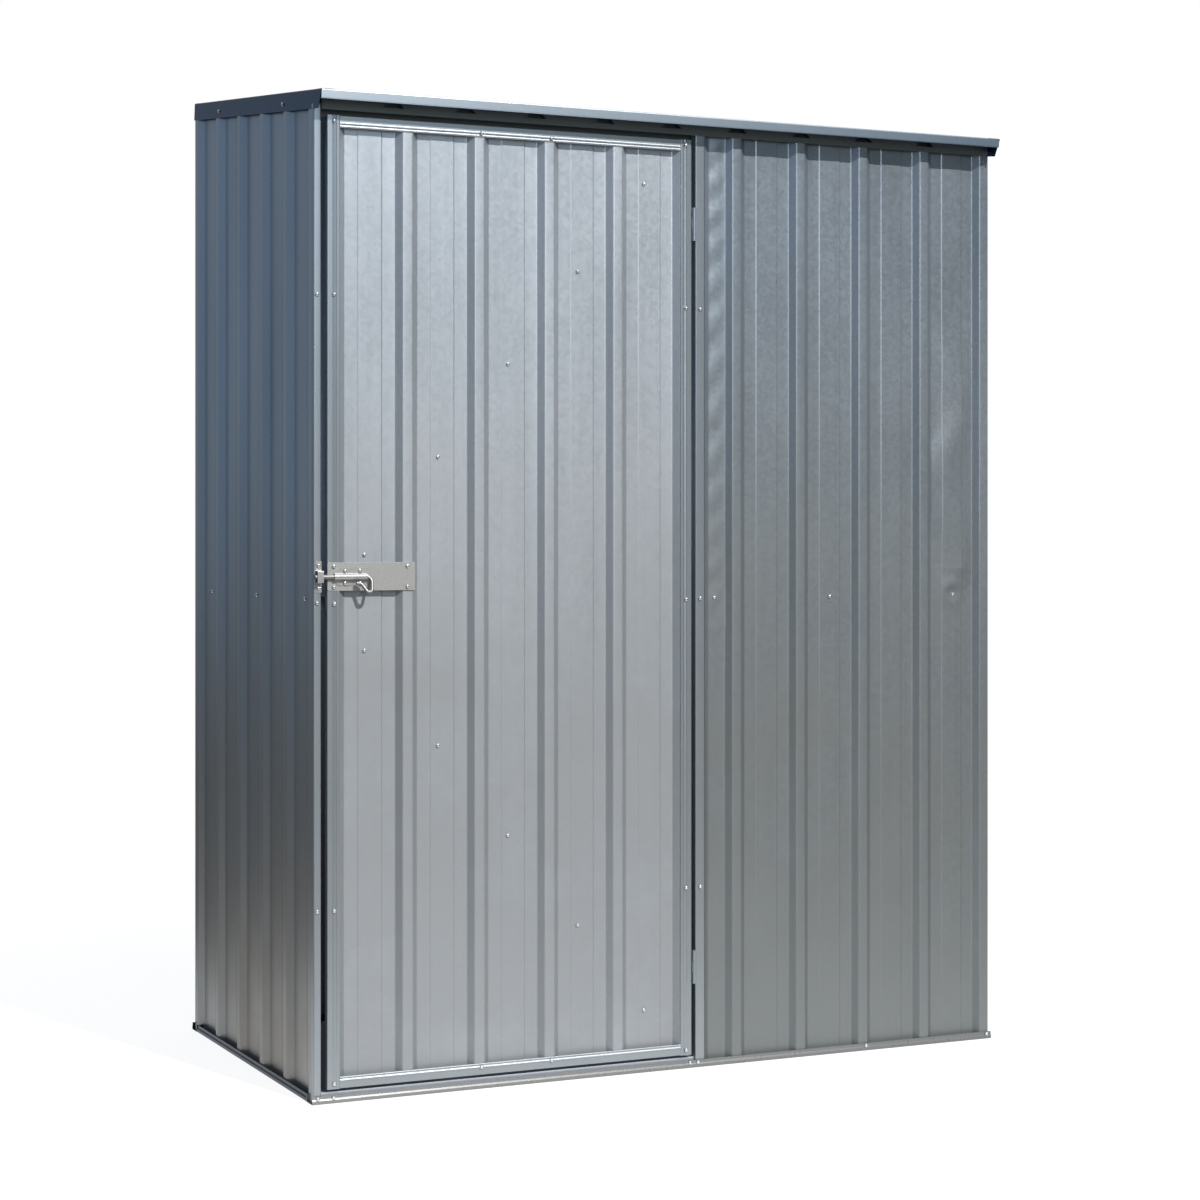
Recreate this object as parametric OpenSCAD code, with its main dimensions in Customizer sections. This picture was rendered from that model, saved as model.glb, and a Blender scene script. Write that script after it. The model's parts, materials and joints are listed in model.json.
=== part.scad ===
// Metal tool shed: a pent-roofed shed of ribbed galvanised sheet on a channel base,
// with one hinged door and a sliding pad bolt.
// Millimetres, +Z up. The front faces -Y and the roof falls towards the door.
// The origin is the middle of the footprint that the roof's front edge and the base cover, on the ground.
// Inside placed(), x and y run from the base's front left corner.

/* [Footprint and heights] */
// Width of the base frame
base_w = 1510; // [1300:10:2000]
// Depth of the base frame
base_d = 784; // [700:2:1200]
// Height of the header's lower edge over the ground
front_h = 1861; // [1700:1:2100]
// Rise of the roof over the depth of the base
roof_rise = 92; // [60:1:160]
// How far the roof's front edge stands out of the base
roof_overhang = 38; // [25:1:80]
// How far the base frame stands out of the rib crests
wall_inset = 5; // [3:0.5:10]

/* [Ribbed sheet] */
// Thickness of the wall and roof sheet
sheet_t = 0.8; // [0.5:0.1:1.2]
// Distance from rib to rib
rib_pitch = 148; // [120:1:180]
// Depth of a rib
rib_depth = 12; // [8:0.5:15]
// Width of a rib's flat crest
rib_crest = 20; // [14:0.5:26]
// Width of a rib's sloping flank
rib_flank = 12; // [8:0.5:16]
// Least distance from a sheet's end to the nearest rib's centre
rib_end_min = 88; // [70:1:100]

/* [Base and frame] */
// Thickness of the folded channels and angles
frame_t = 1.2; // [0.8:0.1:1.6]
// Width of the base channel
base_ch_w = 35; // [30:1:50]
// Height of the base channel
base_ch_h = 15; // [12:0.5:18]
// Height of the door sill
sill_h = 20; // [16:0.5:21]
// Depth of the door sill
sill_d = 22; // [16:0.5:26]
// Leg of the corner posts
post_leg = 35; // [25:1:45]
// Leg of the rails under the roof
top_rail_leg = 30; // [20:1:40]
// How far the header's back leg drops below its front leg
header_drop = 10; // [4:0.5:20]
// How far wall tops reach up behind the header's front leg
header_lap = 10; // [6:0.5:14]
// Height of the middle of the mid rails
mid_rail_z = 941; // [800:1:1100]
// Height of a mid rail
mid_rail_h = 30; // [20:1:40]
// Depth of a mid rail
mid_rail_d = 20; // [10:1:26]

/* [Roof edges] */
// Thickness of the roof's edge trims
trim_t = 1; // [0.6:0.1:1.5]
// Height of the side and rear flashings
flashing_h = 36; // [30:0.5:50]
// Width of the flashings' top flange
flashing_flange = 28; // [22:0.5:40]
// How far the side flashings' lower front corner is cut back
flashing_cut = 14; // [5:0.5:25]
// Height of the front fascia
fascia_h = 18; // [16:0.5:26]
// Depth of the fold under the fascia
fascia_lip = 7; // [4:0.5:14]
// Depth of the fascia's and rear trim's top flange
cap_flange = 25; // [18:0.5:30]

/* [Doorway] */
// Width of the left post's face beside the door
post_face = 14; // [12:0.5:20]
// Depth of the doorway's folded returns
return_d = 20; // [16:0.5:26]
// Gap between the left post and the door
lock_gap = 11; // [6:0.5:16]
// Gap between the door and the hinge jamb
hinge_gap = 9.6; // [9.2:0.1:12]
// Width of the hinge jamb's face
jamb_face = 21; // [16:0.5:30]
// Gap between the header and the door
head_gap = 13; // [8:0.5:20]
// Gap between the sill and the door
foot_gap = 6; // [5:0.5:12]

/* [Door leaf] */
// Width of the door
door_w = 769; // [650:1:850]
// How far the door's frame stands in front of the rib crests
door_proud = 2; // [1:0.1:4]
// Width of the door's stiles and rails
stile_w = 25; // [22:0.5:35]
// Width of the diagonal braces
brace_w = 24; // [16:1:30]
// Height of the point at the lock stile that the braces start from
brace_mid_z = 937; // [900:1:1000]
// How far each brace starts above or below that point
brace_spread = 24; // [20:1:60]
// How far a brace's line runs on past the rail at its outer end
brace_run_on = 28; // [0:1:40]

/* [Hinges] */
// Height of a hinge
hinge_h = 66; // [50:1:80]
// Distance from the door's top to the upper hinge's top
upper_hinge_drop = 132; // [90:1:200]
// Distance from the door's foot to the lower hinge's foot
lower_hinge_rise = 142; // [90:1:200]
// Diameter of the knuckles
knuckle_d = 8; // [7:0.1:8.6]
// Diameter of the hinge pin
pin_d = 4; // [3:0.1:4.5]
// Radial clearance of the pin in the door's knuckle
pin_fit = 0.05; // [0.02:0.01:0.1]
// Thickness of the hinge leaves
leaf_t = 1.5; // [1:0.1:2]
// Distance from the pin's axis back to a leaf's rear edge
leaf_d = 17; // [12:0.5:18]
// How far the pin's axis stands in front of the door's face
pin_proud = 2; // [1:0.1:4]

/* [Latch] */
// Height of the bolt's axis
bolt_z = 986; // [900:1:1100]
// Diameter of the bolt's rod
rod_d = 8; // [6:0.5:10]
// Radial clearance of the rod in its guide
rod_fit = 0.06; // [0.02:0.01:0.1]
// Thickness of the latch's plates
plate_t = 1.2; // [0.8:0.1:2]
// Width of the plate behind the bolt
plate_w = 176; // [150:1:200]
// Height of the plate behind the bolt
plate_h = 53; // [45:1:70]
// Distance from the door's edge to the guide
guide_start = 11; // [8:0.5:20]
// Length of the guide
guide_len = 66; // [50:1:80]
// Height of the guide's foot plate
guide_h = 34; // [26:1:44]
// Wall of the guide's tube
guide_wall = 1.6; // [1.2:0.1:2.5]
// Length of bare foot plate ahead of the guide's tube
guide_lead = 6; // [3:0.5:12]
// Distance from the base's left edge to the bolt's tip when shot
tip_x = 3; // [1:0.5:6]
// Diameter of the pull loop's wire
loop_wire = 5; // [4:0.5:6]
// Width of the pull loop over its wire
loop_w = 24; // [20:0.5:30]
// Length of the pull loop below the rod's axis
loop_drop = 30; // [26:0.5:40]
// Angle that the pull loop stands out of the upright
loop_tilt = 25; // [15:1:45]
// Width of the keeper along the bolt
keeper_w = 12; // [9:0.5:13]
// Height of the keeper's plate
keeper_h = 59; // [50:1:70]
// Height of the keeper's bridge
bridge_h = 23; // [19:0.5:30]
// Room between the rod and the keeper's bridge
keeper_room = 0.8; // [0.5:0.1:2]

/* [Hidden] */
// Gap between seated pieces
seat = 0.2;
// Overrun of every cut
over = 10;
// Sides of round shapes
$fn = 48;

wall_x1 = base_w - wall_inset;
wall_y1 = base_d - wall_inset;
skin = rib_depth + sheet_t;
inner_x0 = wall_inset + skin + seat;
inner_x1 = base_w - inner_x0;
inner_y0 = wall_inset + skin + seat;
inner_y1 = base_d - inner_y0;

slope = atan(roof_rise / base_d);
trim_n = skin + seat + trim_t;
roof_pan_z = front_h - wall_inset * tan(slope) + (flashing_h - trim_n) / cos(slope);
roof_s0 = (trim_n * sin(slope) - roof_overhang) / cos(slope);
roof_s1 = (wall_y1 + seat) / cos(slope);
function roof_z(y) = roof_pan_z + y * tan(slope);

door_x0 = wall_inset + post_face + lock_gap;
door_x1 = door_x0 + door_w;
door_y0 = wall_inset - door_proud;
door_y1 = door_y0 + 2 * (frame_t + seat) + skin;
door_z0 = sill_h + foot_gap;
door_z1 = front_h - head_gap;
field_x0 = door_x0 + stile_w + seat;
field_x1 = door_x1 - stile_w - seat;
field_z0 = door_z0 + stile_w + seat;
field_z1 = door_z1 - stile_w - seat;
jamb_x0 = door_x1 + hinge_gap;
jamb_x1 = jamb_x0 + jamb_face;
frame_top = front_h + header_lap;

pin_x = door_x1 + hinge_gap / 2;
pin_y = door_y0 - pin_proud;
upper_hinge_z = door_z1 - upper_hinge_drop - hinge_h;
lower_hinge_z = door_z0 + lower_hinge_rise;
knuckles = 3;
knuckle_h = hinge_h / knuckles;
leaf_free = knuckle_d / 2 + seat;

guide_r = rod_d / 2 + rod_fit + guide_wall;
guide_y = door_y0 - plate_t;
bolt_y = guide_y - plate_t - rod_d / 2 - rod_fit;
guide_x0 = door_x0 + guide_start;
guide_x1 = guide_x0 + guide_len;
rod_x1 = guide_x1 + seat + loop_w / 2;
keeper_y = bolt_y - rod_d / 2 - keeper_room - plate_t;
keeper_x0 = wall_inset + post_face - keeper_w;

sheet_colour = "lightsteelblue";
frame_colour = "silver";
trim_colour = "lightslategray";
latch_colour = "gainsboro";

// Moves coordinates that run from the base's front left corner into the part's frame
module placed() {
    translate([-base_w / 2, (roof_overhang - base_d) / 2, 0]) children();
}

// Tilts x, slope-length and roof-normal coordinates onto the roof's underside
module on_roof() {
    placed() translate([0, 0, roof_pan_z]) rotate([slope, 0, 0]) children();
}

// Extrudes an outline in y and z along x
module along_x(x0, x1) {
    translate([x0, 0, 0]) rotate([90, 0, 90]) linear_extrude(x1 - x0) children();
}

// Extrudes an outline in x and z along y
module along_y(y0, y1) {
    translate([0, y1, 0]) rotate([90, 0, 0]) linear_extrude(y1 - y0) children();
}

// Extrudes a plan outline upwards
module upright(z0, z1) {
    translate([0, 0, z0]) linear_extrude(z1 - z0) children();
}

// Mirrors a left hand piece to the right side of the shed
module opposite_side() {
    translate([base_w, 0, 0]) mirror([1, 0, 0]) children();
}

// Mirrors a front piece to the rear of the shed
module opposite_end() {
    translate([0, base_d, 0]) mirror([0, 1, 0]) children();
}

// Outer line of a ribbed sheet from a to b: distance along it, and depth behind the crests
function rib_line(a, b, edge_a, edge_b, ribs) = concat(
    edge_a > 0 ? [[a, 0], [a + edge_a, 0]] : [[a, 0]],
    [[a + edge_a + rib_flank, rib_depth]],
    [for (c = ribs, p = [[-rib_crest / 2 - rib_flank, rib_depth], [-rib_crest / 2, 0],
                         [rib_crest / 2, 0], [rib_crest / 2 + rib_flank, rib_depth]]) [c, 0] + p],
    [[b - edge_b - rib_flank, rib_depth]],
    edge_b > 0 ? [[b - edge_b, 0], [b, 0]] : [[b, 0]]);

// Centres of the ribs that fit between a and b, set about the middle
function middle_ribs(a, b) =
    let (count = floor((b - a - 2 * rib_end_min) / rib_pitch) + 1)
    [for (i = [0 : count - 1]) (a + b) / 2 + (i - (count - 1) / 2) * rib_pitch];

// Outer line of the rear wall and the roof, with a crest at either corner
function wide_rib_line() =
    rib_line(wall_inset, wall_x1, rib_crest, rib_crest, middle_ribs(wall_inset, wall_x1));

// Closed outline of a sheet, from its outer line
function sheet_outline(line) =
    concat(line, [for (i = [len(line) - 1 : -1 : 0]) line[i] + [0, sheet_t]]);

function swap(points) = [for (p = points) [p[1], p[0]]];
function raised(points) = [for (p = points) [p[0], rib_depth - p[1] + sheet_t]];

// Angle section with its corner at the origin, one leg along each axis
module angle_section(leg_a, leg_b, t) {
    polygon([[0, 0], [leg_a, 0], [leg_a, t], [t, t], [t, leg_b], [0, leg_b]]);
}

// Channel section of a width and height, open towards +y
module channel_section(w, h, t) {
    polygon([[0, 0], [w, 0], [w, h], [w - t, h], [w - t, t], [t, t], [t, h], [0, h]]);
}

// Front base channel: its inner leg stops short of the side channels
module front_channel() {
    along_x(0, base_w) square([base_ch_w, frame_t]);
    along_x(0, base_w) square([frame_t, base_ch_h]);
    along_x(base_ch_w, base_w - base_ch_w)
        translate([base_ch_w - frame_t, 0]) square([frame_t, base_ch_h]);
}

module base_channel_front() {
    color(frame_colour) placed() front_channel();
}

module base_channel_rear() {
    color(frame_colour) placed() opposite_end() front_channel();
}

module side_channel() {
    along_y(base_ch_w + seat, base_d - base_ch_w - seat) channel_section(base_ch_w, base_ch_h, frame_t);
}

module base_channel_left() {
    color(frame_colour) placed() side_channel();
}

module base_channel_right() {
    color(frame_colour) placed() opposite_side() side_channel();
}

// Folded sill that stands in the front channel across the doorway
module door_sill() {
    color(frame_colour) placed()
        translate([0, base_ch_w - frame_t - seat - sill_d, sill_h]) mirror([0, 0, 1])
            along_x(wall_inset + post_face + seat, jamb_x0 - seat)
                channel_section(sill_d, sill_h - frame_t, frame_t);
}

// Side wall: its ribs are counted from the rear corner, and its top edge is cut to the roof's slope
module side_wall() {
    y0 = wall_inset + frame_t + seat;
    y1 = wall_y1 - sheet_t - seat;
    last = wall_y1 - rib_crest / 2;
    count = floor((last - y0 - rib_end_min) / rib_pitch);
    ribs = [for (i = [count : -1 : 1]) last - i * rib_pitch];
    front_edge = max(rib_crest, last - (count + 1) * rib_pitch + rib_crest / 2 - y0);
    line = rib_line(y0, y1, front_edge, rib_crest, ribs);
    difference() {
        upright(frame_t, roof_z(base_d)) polygon(swap([for (p = sheet_outline(line)) p + [0, wall_inset]]));
        translate([0, 0, roof_pan_z]) rotate([slope, 0, 0])
            translate([-over, -over, -seat]) cube([inner_x0 + 2 * over, 2 * base_d, roof_rise + 2 * over]);
    }
}

module left_wall() {
    color(sheet_colour) placed() side_wall();
}

module right_wall() {
    color(sheet_colour) placed() opposite_side() side_wall();
}

module rear_wall() {
    color(sheet_colour) placed() opposite_end()
        upright(frame_t, roof_z(inner_y1) - seat)
            translate([0, wall_inset])
                polygon(sheet_outline(wide_rib_line()));
}

// Fixed panel beside the door: its ribs keep the roof's grid, counted from the right corner
module front_wall() {
    x0 = jamb_x1 + seat;
    first = wall_x1 - rib_crest / 2;
    room = first - x0 - 2 * rib_flank - rib_crest;
    ribs = [for (i = [floor(room / rib_pitch) : -1 : 1]) first - i * rib_pitch];
    line = rib_line(x0, wall_x1, 0, 0, ribs);
    corner = [[wall_x1 - rib_crest - rib_flank, rib_depth], [wall_x1 - rib_crest, 0], [wall_x1, 0]];
    color(sheet_colour) placed() upright(frame_t, frame_top) translate([0, wall_inset])
        polygon(sheet_outline(concat([for (i = [0 : len(line) - 3]) line[i]], corner)));
}

// Folded strip at the front left corner, beside the door
module front_left_post() {
    color(frame_colour) placed() upright(frame_t, frame_top)
        translate([wall_inset + post_face, wall_inset]) mirror([1, 0])
            angle_section(post_face, return_d, frame_t);
}

// Corner angle inside two walls, on top of the base channels
module corner_post(z1) {
    upright(base_ch_h + seat, z1) translate([inner_x0, inner_y0]) angle_section(post_leg, post_leg, frame_t);
}

module front_right_post() {
    color(frame_colour) placed() opposite_side() corner_post(front_h - header_drop - seat);
}

module rear_left_post() {
    color(frame_colour) placed() opposite_end() corner_post(roof_z(inner_y1 - post_leg) - seat);
}

module rear_right_post() {
    color(frame_colour) placed() opposite_side() opposite_end() corner_post(roof_z(inner_y1 - post_leg) - seat);
}

// Channel that the door hangs on
module hinge_jamb() {
    color(frame_colour) placed() upright(frame_t, frame_top)
        translate([jamb_x0, wall_inset]) channel_section(jamb_face, return_d, frame_t);
}

// Channel over the doorway and the front wall, cut to the roof's slope on top
module front_header() {
    y0 = wall_inset - seat - frame_t;
    y1 = base_ch_w;
    color(frame_colour) placed() along_x(wall_inset + post_face + seat, inner_x1)
        polygon([
            [y0, front_h], [y0, roof_z(y0) - seat], [y1, roof_z(y1) - seat], [y1, front_h - header_drop],
            [y1 - frame_t, front_h - header_drop], [y1 - frame_t, roof_z(y1 - frame_t) - seat - frame_t],
            [y0 + frame_t, roof_z(y0 + frame_t) - seat - frame_t], [y0 + frame_t, front_h]]);
}

// Angle along the rear wall's top
module rear_top_rail() {
    x0 = inner_x0 + post_leg + seat;
    y1 = inner_y1;
    y0 = y1 - top_rail_leg;
    color(frame_colour) placed() along_x(x0, base_w - x0)
        polygon([
            [y0, roof_z(y0) - seat], [y1, roof_z(y1) - seat], [y1, roof_z(y1) - seat - top_rail_leg],
            [y1 - frame_t, roof_z(y1) - seat - top_rail_leg],
            [y1 - frame_t, roof_z(y1 - frame_t) - seat - frame_t], [y0, roof_z(y0) - seat - frame_t]]);
}

// Angle along a side wall's top, under the roof
module side_top_rail() {
    s0 = (base_ch_w + top_rail_leg * sin(slope) + seat) / cos(slope);
    s1 = (inner_y1 - post_leg - top_rail_leg * sin(slope) - seat) / cos(slope);
    translate([0, 0, roof_pan_z]) rotate([slope, 0, 0])
        along_y(s0, s1) translate([inner_x0, -seat]) mirror([0, 1])
            angle_section(top_rail_leg, top_rail_leg, frame_t);
}

module left_top_rail() {
    color(frame_colour) placed() side_top_rail();
}

module right_top_rail() {
    color(frame_colour) placed() opposite_side() side_top_rail();
}

// Section of a mid rail, standing on the wall's inner face
module mid_rail_section() {
    translate([0, mid_rail_z - mid_rail_h / 2]) angle_section(mid_rail_d, mid_rail_h, frame_t);
}

module side_mid_rail() {
    along_y(wall_inset + return_d + seat, inner_y1 - post_leg - seat)
        translate([inner_x0, 0]) mid_rail_section();
}

module left_mid_rail() {
    color(frame_colour) placed() side_mid_rail();
}

module right_mid_rail() {
    color(frame_colour) placed() opposite_side() intersection() {
        side_mid_rail();
        translate([0, inner_y0 + post_leg + seat, 0]) cube([base_w, base_d, front_h]);
    }
}

module rear_mid_rail() {
    x0 = inner_x0 + post_leg + seat;
    color(frame_colour) placed() opposite_end()
        along_x(x0, base_w - x0) translate([inner_y0, 0]) mid_rail_section();
}

module front_mid_rail() {
    color(frame_colour) placed()
        along_x(jamb_x1 + seat, inner_x1 - post_leg - seat) translate([inner_y0, 0]) mid_rail_section();
}

module roof_sheet() {
    line = wide_rib_line();
    color(sheet_colour) on_roof() along_y(roof_s0 + trim_t + seat, roof_s1 - seat)
        polygon(raised(sheet_outline(line)));
}

// Front trim: top flange, fascia and the fold under it
module roof_front_fascia() {
    s = roof_s0;
    n = trim_n;
    foot = n - fascia_h;
    color(trim_colour) on_roof() along_x(wall_inset, wall_x1)
        polygon([
            [s, n], [s + cap_flange, n], [s + cap_flange, n - trim_t], [s + trim_t, n - trim_t],
            [s + trim_t, foot + trim_t], [s + fascia_lip, foot + trim_t], [s + fascia_lip, foot], [s, foot]]);
}

// Rear trim: top flange and the leg behind the rear wall
module roof_rear_trim() {
    color(trim_colour) on_roof() along_x(wall_inset, wall_x1)
        translate([roof_s1 + trim_t, trim_n]) mirror([1, 0]) mirror([0, 1])
            angle_section(cap_flange, flashing_h, trim_t);
}

// Side flashing: a leg over the wall's top, cut back at its lower front corner, and a top flange
module side_flashing() {
    x0 = wall_inset - seat - trim_t;
    s1 = roof_s1 + trim_t;
    foot = trim_n - flashing_h;
    translate([0, 0, roof_pan_z]) rotate([slope, 0, 0]) {
        along_x(x0, x0 + trim_t)
            polygon([[roof_s0, trim_n], [s1, trim_n], [s1, foot], [roof_s0 + flashing_cut, foot]]);
        translate([x0, roof_s0 + cap_flange + seat, trim_n - trim_t])
            cube([flashing_flange, s1 - roof_s0 - 2 * (cap_flange + seat) - trim_t, trim_t]);
    }
}

module roof_left_flashing() {
    color(trim_colour) placed() side_flashing();
}

module roof_right_flashing() {
    color(trim_colour) placed() opposite_side() side_flashing();
}

// Plan of a hinge leaf on the door's side of the pin, with x and y from the pin's axis
module leaf_plate(h) {
    upright(0, h) translate([-hinge_gap / 2, leaf_free + seat]) square([leaf_t, leaf_d - leaf_free - seat]);
}

// Knuckle and the tongue that joins it to its leaf
module leaf_knuckle(h) {
    upright(0, h) circle(d = knuckle_d);
    upright(0, h) translate([-hinge_gap / 2, 0]) square([leaf_t, leaf_free + 2 * seat]);
}

// Leaf on the jamb: the outer knuckles and the pin through all of them
module hinge_frame_leaf(z0) {
    translate([pin_x, pin_y, z0]) {
        mirror([1, 0, 0]) leaf_plate(hinge_h);
        for (i = [0, knuckles - 1])
            translate([0, 0, i * knuckle_h]) mirror([1, 0, 0]) leaf_knuckle(knuckle_h);
        upright(0, hinge_h) circle(d = pin_d);
    }
}

// Leaf on the door: the middle knuckle, bored for the pin
module hinge_door_leaf(z0) {
    translate([pin_x, pin_y, z0]) difference() {
        union() {
            leaf_plate(hinge_h);
            translate([0, 0, knuckle_h + seat]) leaf_knuckle(knuckle_h - 2 * seat);
        }
        upright(-over, hinge_h + over) circle(r = pin_d / 2 + pin_fit);
    }
}

module upper_hinge_frame_leaf() {
    color(frame_colour) placed() hinge_frame_leaf(upper_hinge_z);
}

module lower_hinge_frame_leaf() {
    color(frame_colour) placed() hinge_frame_leaf(lower_hinge_z);
}

module upper_hinge_door_leaf() {
    color(frame_colour) placed() hinge_door_leaf(upper_hinge_z);
}

module lower_hinge_door_leaf() {
    color(frame_colour) placed() hinge_door_leaf(lower_hinge_z);
}

// Keeper on the left post: two ears and a bridge that the bolt shoots under
module bolt_keeper() {
    ear = wall_inset - plate_t;
    color(latch_colour) placed() along_x(keeper_x0, keeper_x0 + keeper_w) translate([0, bolt_z])
        polygon([
            [wall_inset, -keeper_h / 2], [wall_inset, -bridge_h / 2 + plate_t],
            [keeper_y + plate_t, -bridge_h / 2 + plate_t], [keeper_y + plate_t, bridge_h / 2 - plate_t],
            [wall_inset, bridge_h / 2 - plate_t], [wall_inset, keeper_h / 2], [ear, keeper_h / 2],
            [ear, bridge_h / 2], [keeper_y, bridge_h / 2], [keeper_y, -bridge_h / 2],
            [ear, -bridge_h / 2], [ear, -keeper_h / 2]]);
}

// Ribbed panel of the door, held between the legs of its frame
module door_panel() {
    x0 = door_x0 + frame_t + seat;
    x1 = door_x1 - frame_t - seat;
    edge = stile_w - frame_t - seat;
    color(sheet_colour) placed() upright(door_z0 + frame_t + seat, door_z1 - frame_t - seat)
        translate([0, door_y0 + frame_t + seat])
            polygon(sheet_outline(rib_line(x0, x1, edge, edge, middle_ribs(x0, x1))));
}

// Channel around an edge of the door, from its outer edge inwards
module edge_channel_section() {
    depth = door_y1 - door_y0;
    polygon([
        [0, 0], [stile_w, 0], [stile_w, frame_t], [frame_t, frame_t], [frame_t, depth - frame_t],
        [stile_w, depth - frame_t], [stile_w, depth], [0, depth]]);
}

module door_lock_stile() {
    color(frame_colour) placed() upright(door_z0, door_z1)
        translate([door_x0, door_y0]) edge_channel_section();
}

module door_hinge_stile() {
    color(frame_colour) placed() upright(door_z0, door_z1)
        translate([door_x1, door_y0]) mirror([1, 0]) edge_channel_section();
}

// Rail between the stiles, with its web at z and its legs reaching into the door
module door_rail() {
    along_x(field_x0, field_x1) translate([door_y0, 0]) mirror([1, -1]) edge_channel_section();
}

module door_top_rail() {
    color(frame_colour) placed() translate([0, 0, door_z1]) mirror([0, 0, 1]) door_rail();
}

module door_bottom_rail() {
    color(frame_colour) placed() translate([0, 0, door_z0]) door_rail();
}

// Flat diagonal behind the panel, cut off where the door's frame begins
module door_brace(z0, z1) {
    half = brace_w / 2 / cos(atan((z1 - z0) / (field_x1 - field_x0)));
    along_y(door_y1 - frame_t, door_y1) intersection() {
        polygon([[field_x0, z0 - half], [field_x1, z1 - half], [field_x1, z1 + half], [field_x0, z0 + half]]);
        translate([field_x0, field_z0]) square([field_x1 - field_x0, field_z1 - field_z0]);
    }
}

module door_upper_brace() {
    color(frame_colour) placed() door_brace(brace_mid_z + brace_spread, field_z1 + brace_run_on);
}

module door_lower_brace() {
    color(frame_colour) placed() door_brace(brace_mid_z - brace_spread, field_z0 - brace_run_on);
}

module latch_plate() {
    color(latch_colour) placed() along_x(door_x0, door_x0 + plate_w)
        translate([guide_y, bolt_z - plate_h / 2]) square([plate_t, plate_h]);
}

// Guide: a foot plate with one round end and a tube that the bolt runs in
module bolt_guide() {
    r = guide_h / 2;
    color(latch_colour) placed() difference() {
        union() {
            along_y(guide_y - plate_t, guide_y) translate([guide_x0, bolt_z]) {
                translate([r, -r]) square([guide_len - r, guide_h]);
                translate([r, 0]) circle(r = r);
            }
            intersection() {
                along_x(guide_x0 + guide_lead, guide_x1) translate([bolt_y, bolt_z]) circle(r = guide_r);
                translate([0, guide_y - over - 2 * guide_r, 0]) cube([base_w, over + 2 * guide_r, front_h]);
            }
        }
        along_x(guide_x0 - over, guide_x1 + over) translate([bolt_y, bolt_z]) circle(r = rod_d / 2 + rod_fit);
    }
}

// Bolt: a rod with a bent wire pull at its right end
module latch_bolt() {
    bend_r = (loop_w - loop_wire) / 2;
    leg = loop_drop - loop_w / 2;
    color(latch_colour) placed() translate([0, bolt_y, bolt_z]) {
        along_x(tip_x, rod_x1 + bend_r + loop_wire) circle(d = rod_d);
        translate([rod_x1, 0, 0]) rotate([-loop_tilt, 0, 0]) {
            for (side = [-1, 1])
                translate([side * bend_r, 0, -leg]) cylinder(d = loop_wire, h = leg);
            translate([0, 0, -leg]) rotate([-90, 0, 0]) rotate_extrude(angle = 180)
                translate([bend_r, 0]) circle(d = loop_wire);
        }
    }
}

base_channel_front();
base_channel_rear();
base_channel_left();
base_channel_right();
door_sill();
left_wall();
right_wall();
rear_wall();
front_wall();
front_left_post();
front_right_post();
rear_left_post();
rear_right_post();
hinge_jamb();
front_header();
rear_top_rail();
left_top_rail();
right_top_rail();
left_mid_rail();
right_mid_rail();
rear_mid_rail();
front_mid_rail();
roof_sheet();
roof_front_fascia();
roof_rear_trim();
roof_left_flashing();
roof_right_flashing();
upper_hinge_frame_leaf();
lower_hinge_frame_leaf();
bolt_keeper();
door_panel();
door_lock_stile();
door_hinge_stile();
door_top_rail();
door_bottom_rail();
door_upper_brace();
door_lower_brace();
upper_hinge_door_leaf();
lower_hinge_door_leaf();
latch_plate();
bolt_guide();
latch_bolt();
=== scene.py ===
"""Looks of a pent-roofed tool shed of ribbed galvanised sheet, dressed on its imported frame."""

import json
import logging
import math
from collections.abc import Callable
from dataclasses import dataclass, field
from enum import Enum

import bmesh
import bpy
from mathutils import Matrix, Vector

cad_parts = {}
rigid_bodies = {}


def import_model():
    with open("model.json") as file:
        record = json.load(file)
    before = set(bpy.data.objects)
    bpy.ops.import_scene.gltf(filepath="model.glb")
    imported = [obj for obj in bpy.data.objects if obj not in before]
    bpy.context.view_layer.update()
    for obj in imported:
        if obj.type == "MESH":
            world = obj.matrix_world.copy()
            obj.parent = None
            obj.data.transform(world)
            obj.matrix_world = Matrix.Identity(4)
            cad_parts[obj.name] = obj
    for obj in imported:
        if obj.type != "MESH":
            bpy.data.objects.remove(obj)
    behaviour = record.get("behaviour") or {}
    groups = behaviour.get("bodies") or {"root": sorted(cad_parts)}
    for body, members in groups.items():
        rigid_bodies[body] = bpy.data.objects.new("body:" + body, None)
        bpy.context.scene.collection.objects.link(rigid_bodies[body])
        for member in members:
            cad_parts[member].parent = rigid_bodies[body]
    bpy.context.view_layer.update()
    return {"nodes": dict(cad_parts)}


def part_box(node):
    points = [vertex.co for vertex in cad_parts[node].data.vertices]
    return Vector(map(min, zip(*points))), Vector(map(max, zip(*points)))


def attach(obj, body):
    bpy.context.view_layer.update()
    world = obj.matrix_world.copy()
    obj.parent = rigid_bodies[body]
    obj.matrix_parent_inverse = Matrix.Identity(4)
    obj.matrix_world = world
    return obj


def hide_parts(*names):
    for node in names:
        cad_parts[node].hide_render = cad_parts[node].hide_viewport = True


LOG = logging.getLogger("tool_shed")
MM = 0.001
WELD = 0.01 * MM
SHARP_EDGE = math.radians(60.0)
X_AXIS = Vector((1.0, 0.0, 0.0))
Y_AXIS = Vector((0.0, 1.0, 0.0))
Z_AXIS = Vector((0.0, 0.0, 1.0))

Point = tuple[float, float]
Triple = tuple[float, float, float]
Colour = Triple


class Body(Enum):
    """Moving bodies of the shed."""

    SHED = "shed"
    DOOR = "door"
    BOLT = "bolt"


class Slot(Enum):
    """Material slots of the record."""

    SHEET = "ribbed_sheet"
    FRAME = "folded_frame"
    TRIM = "roof_trim"
    LATCH = "zinc_latch"


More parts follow.
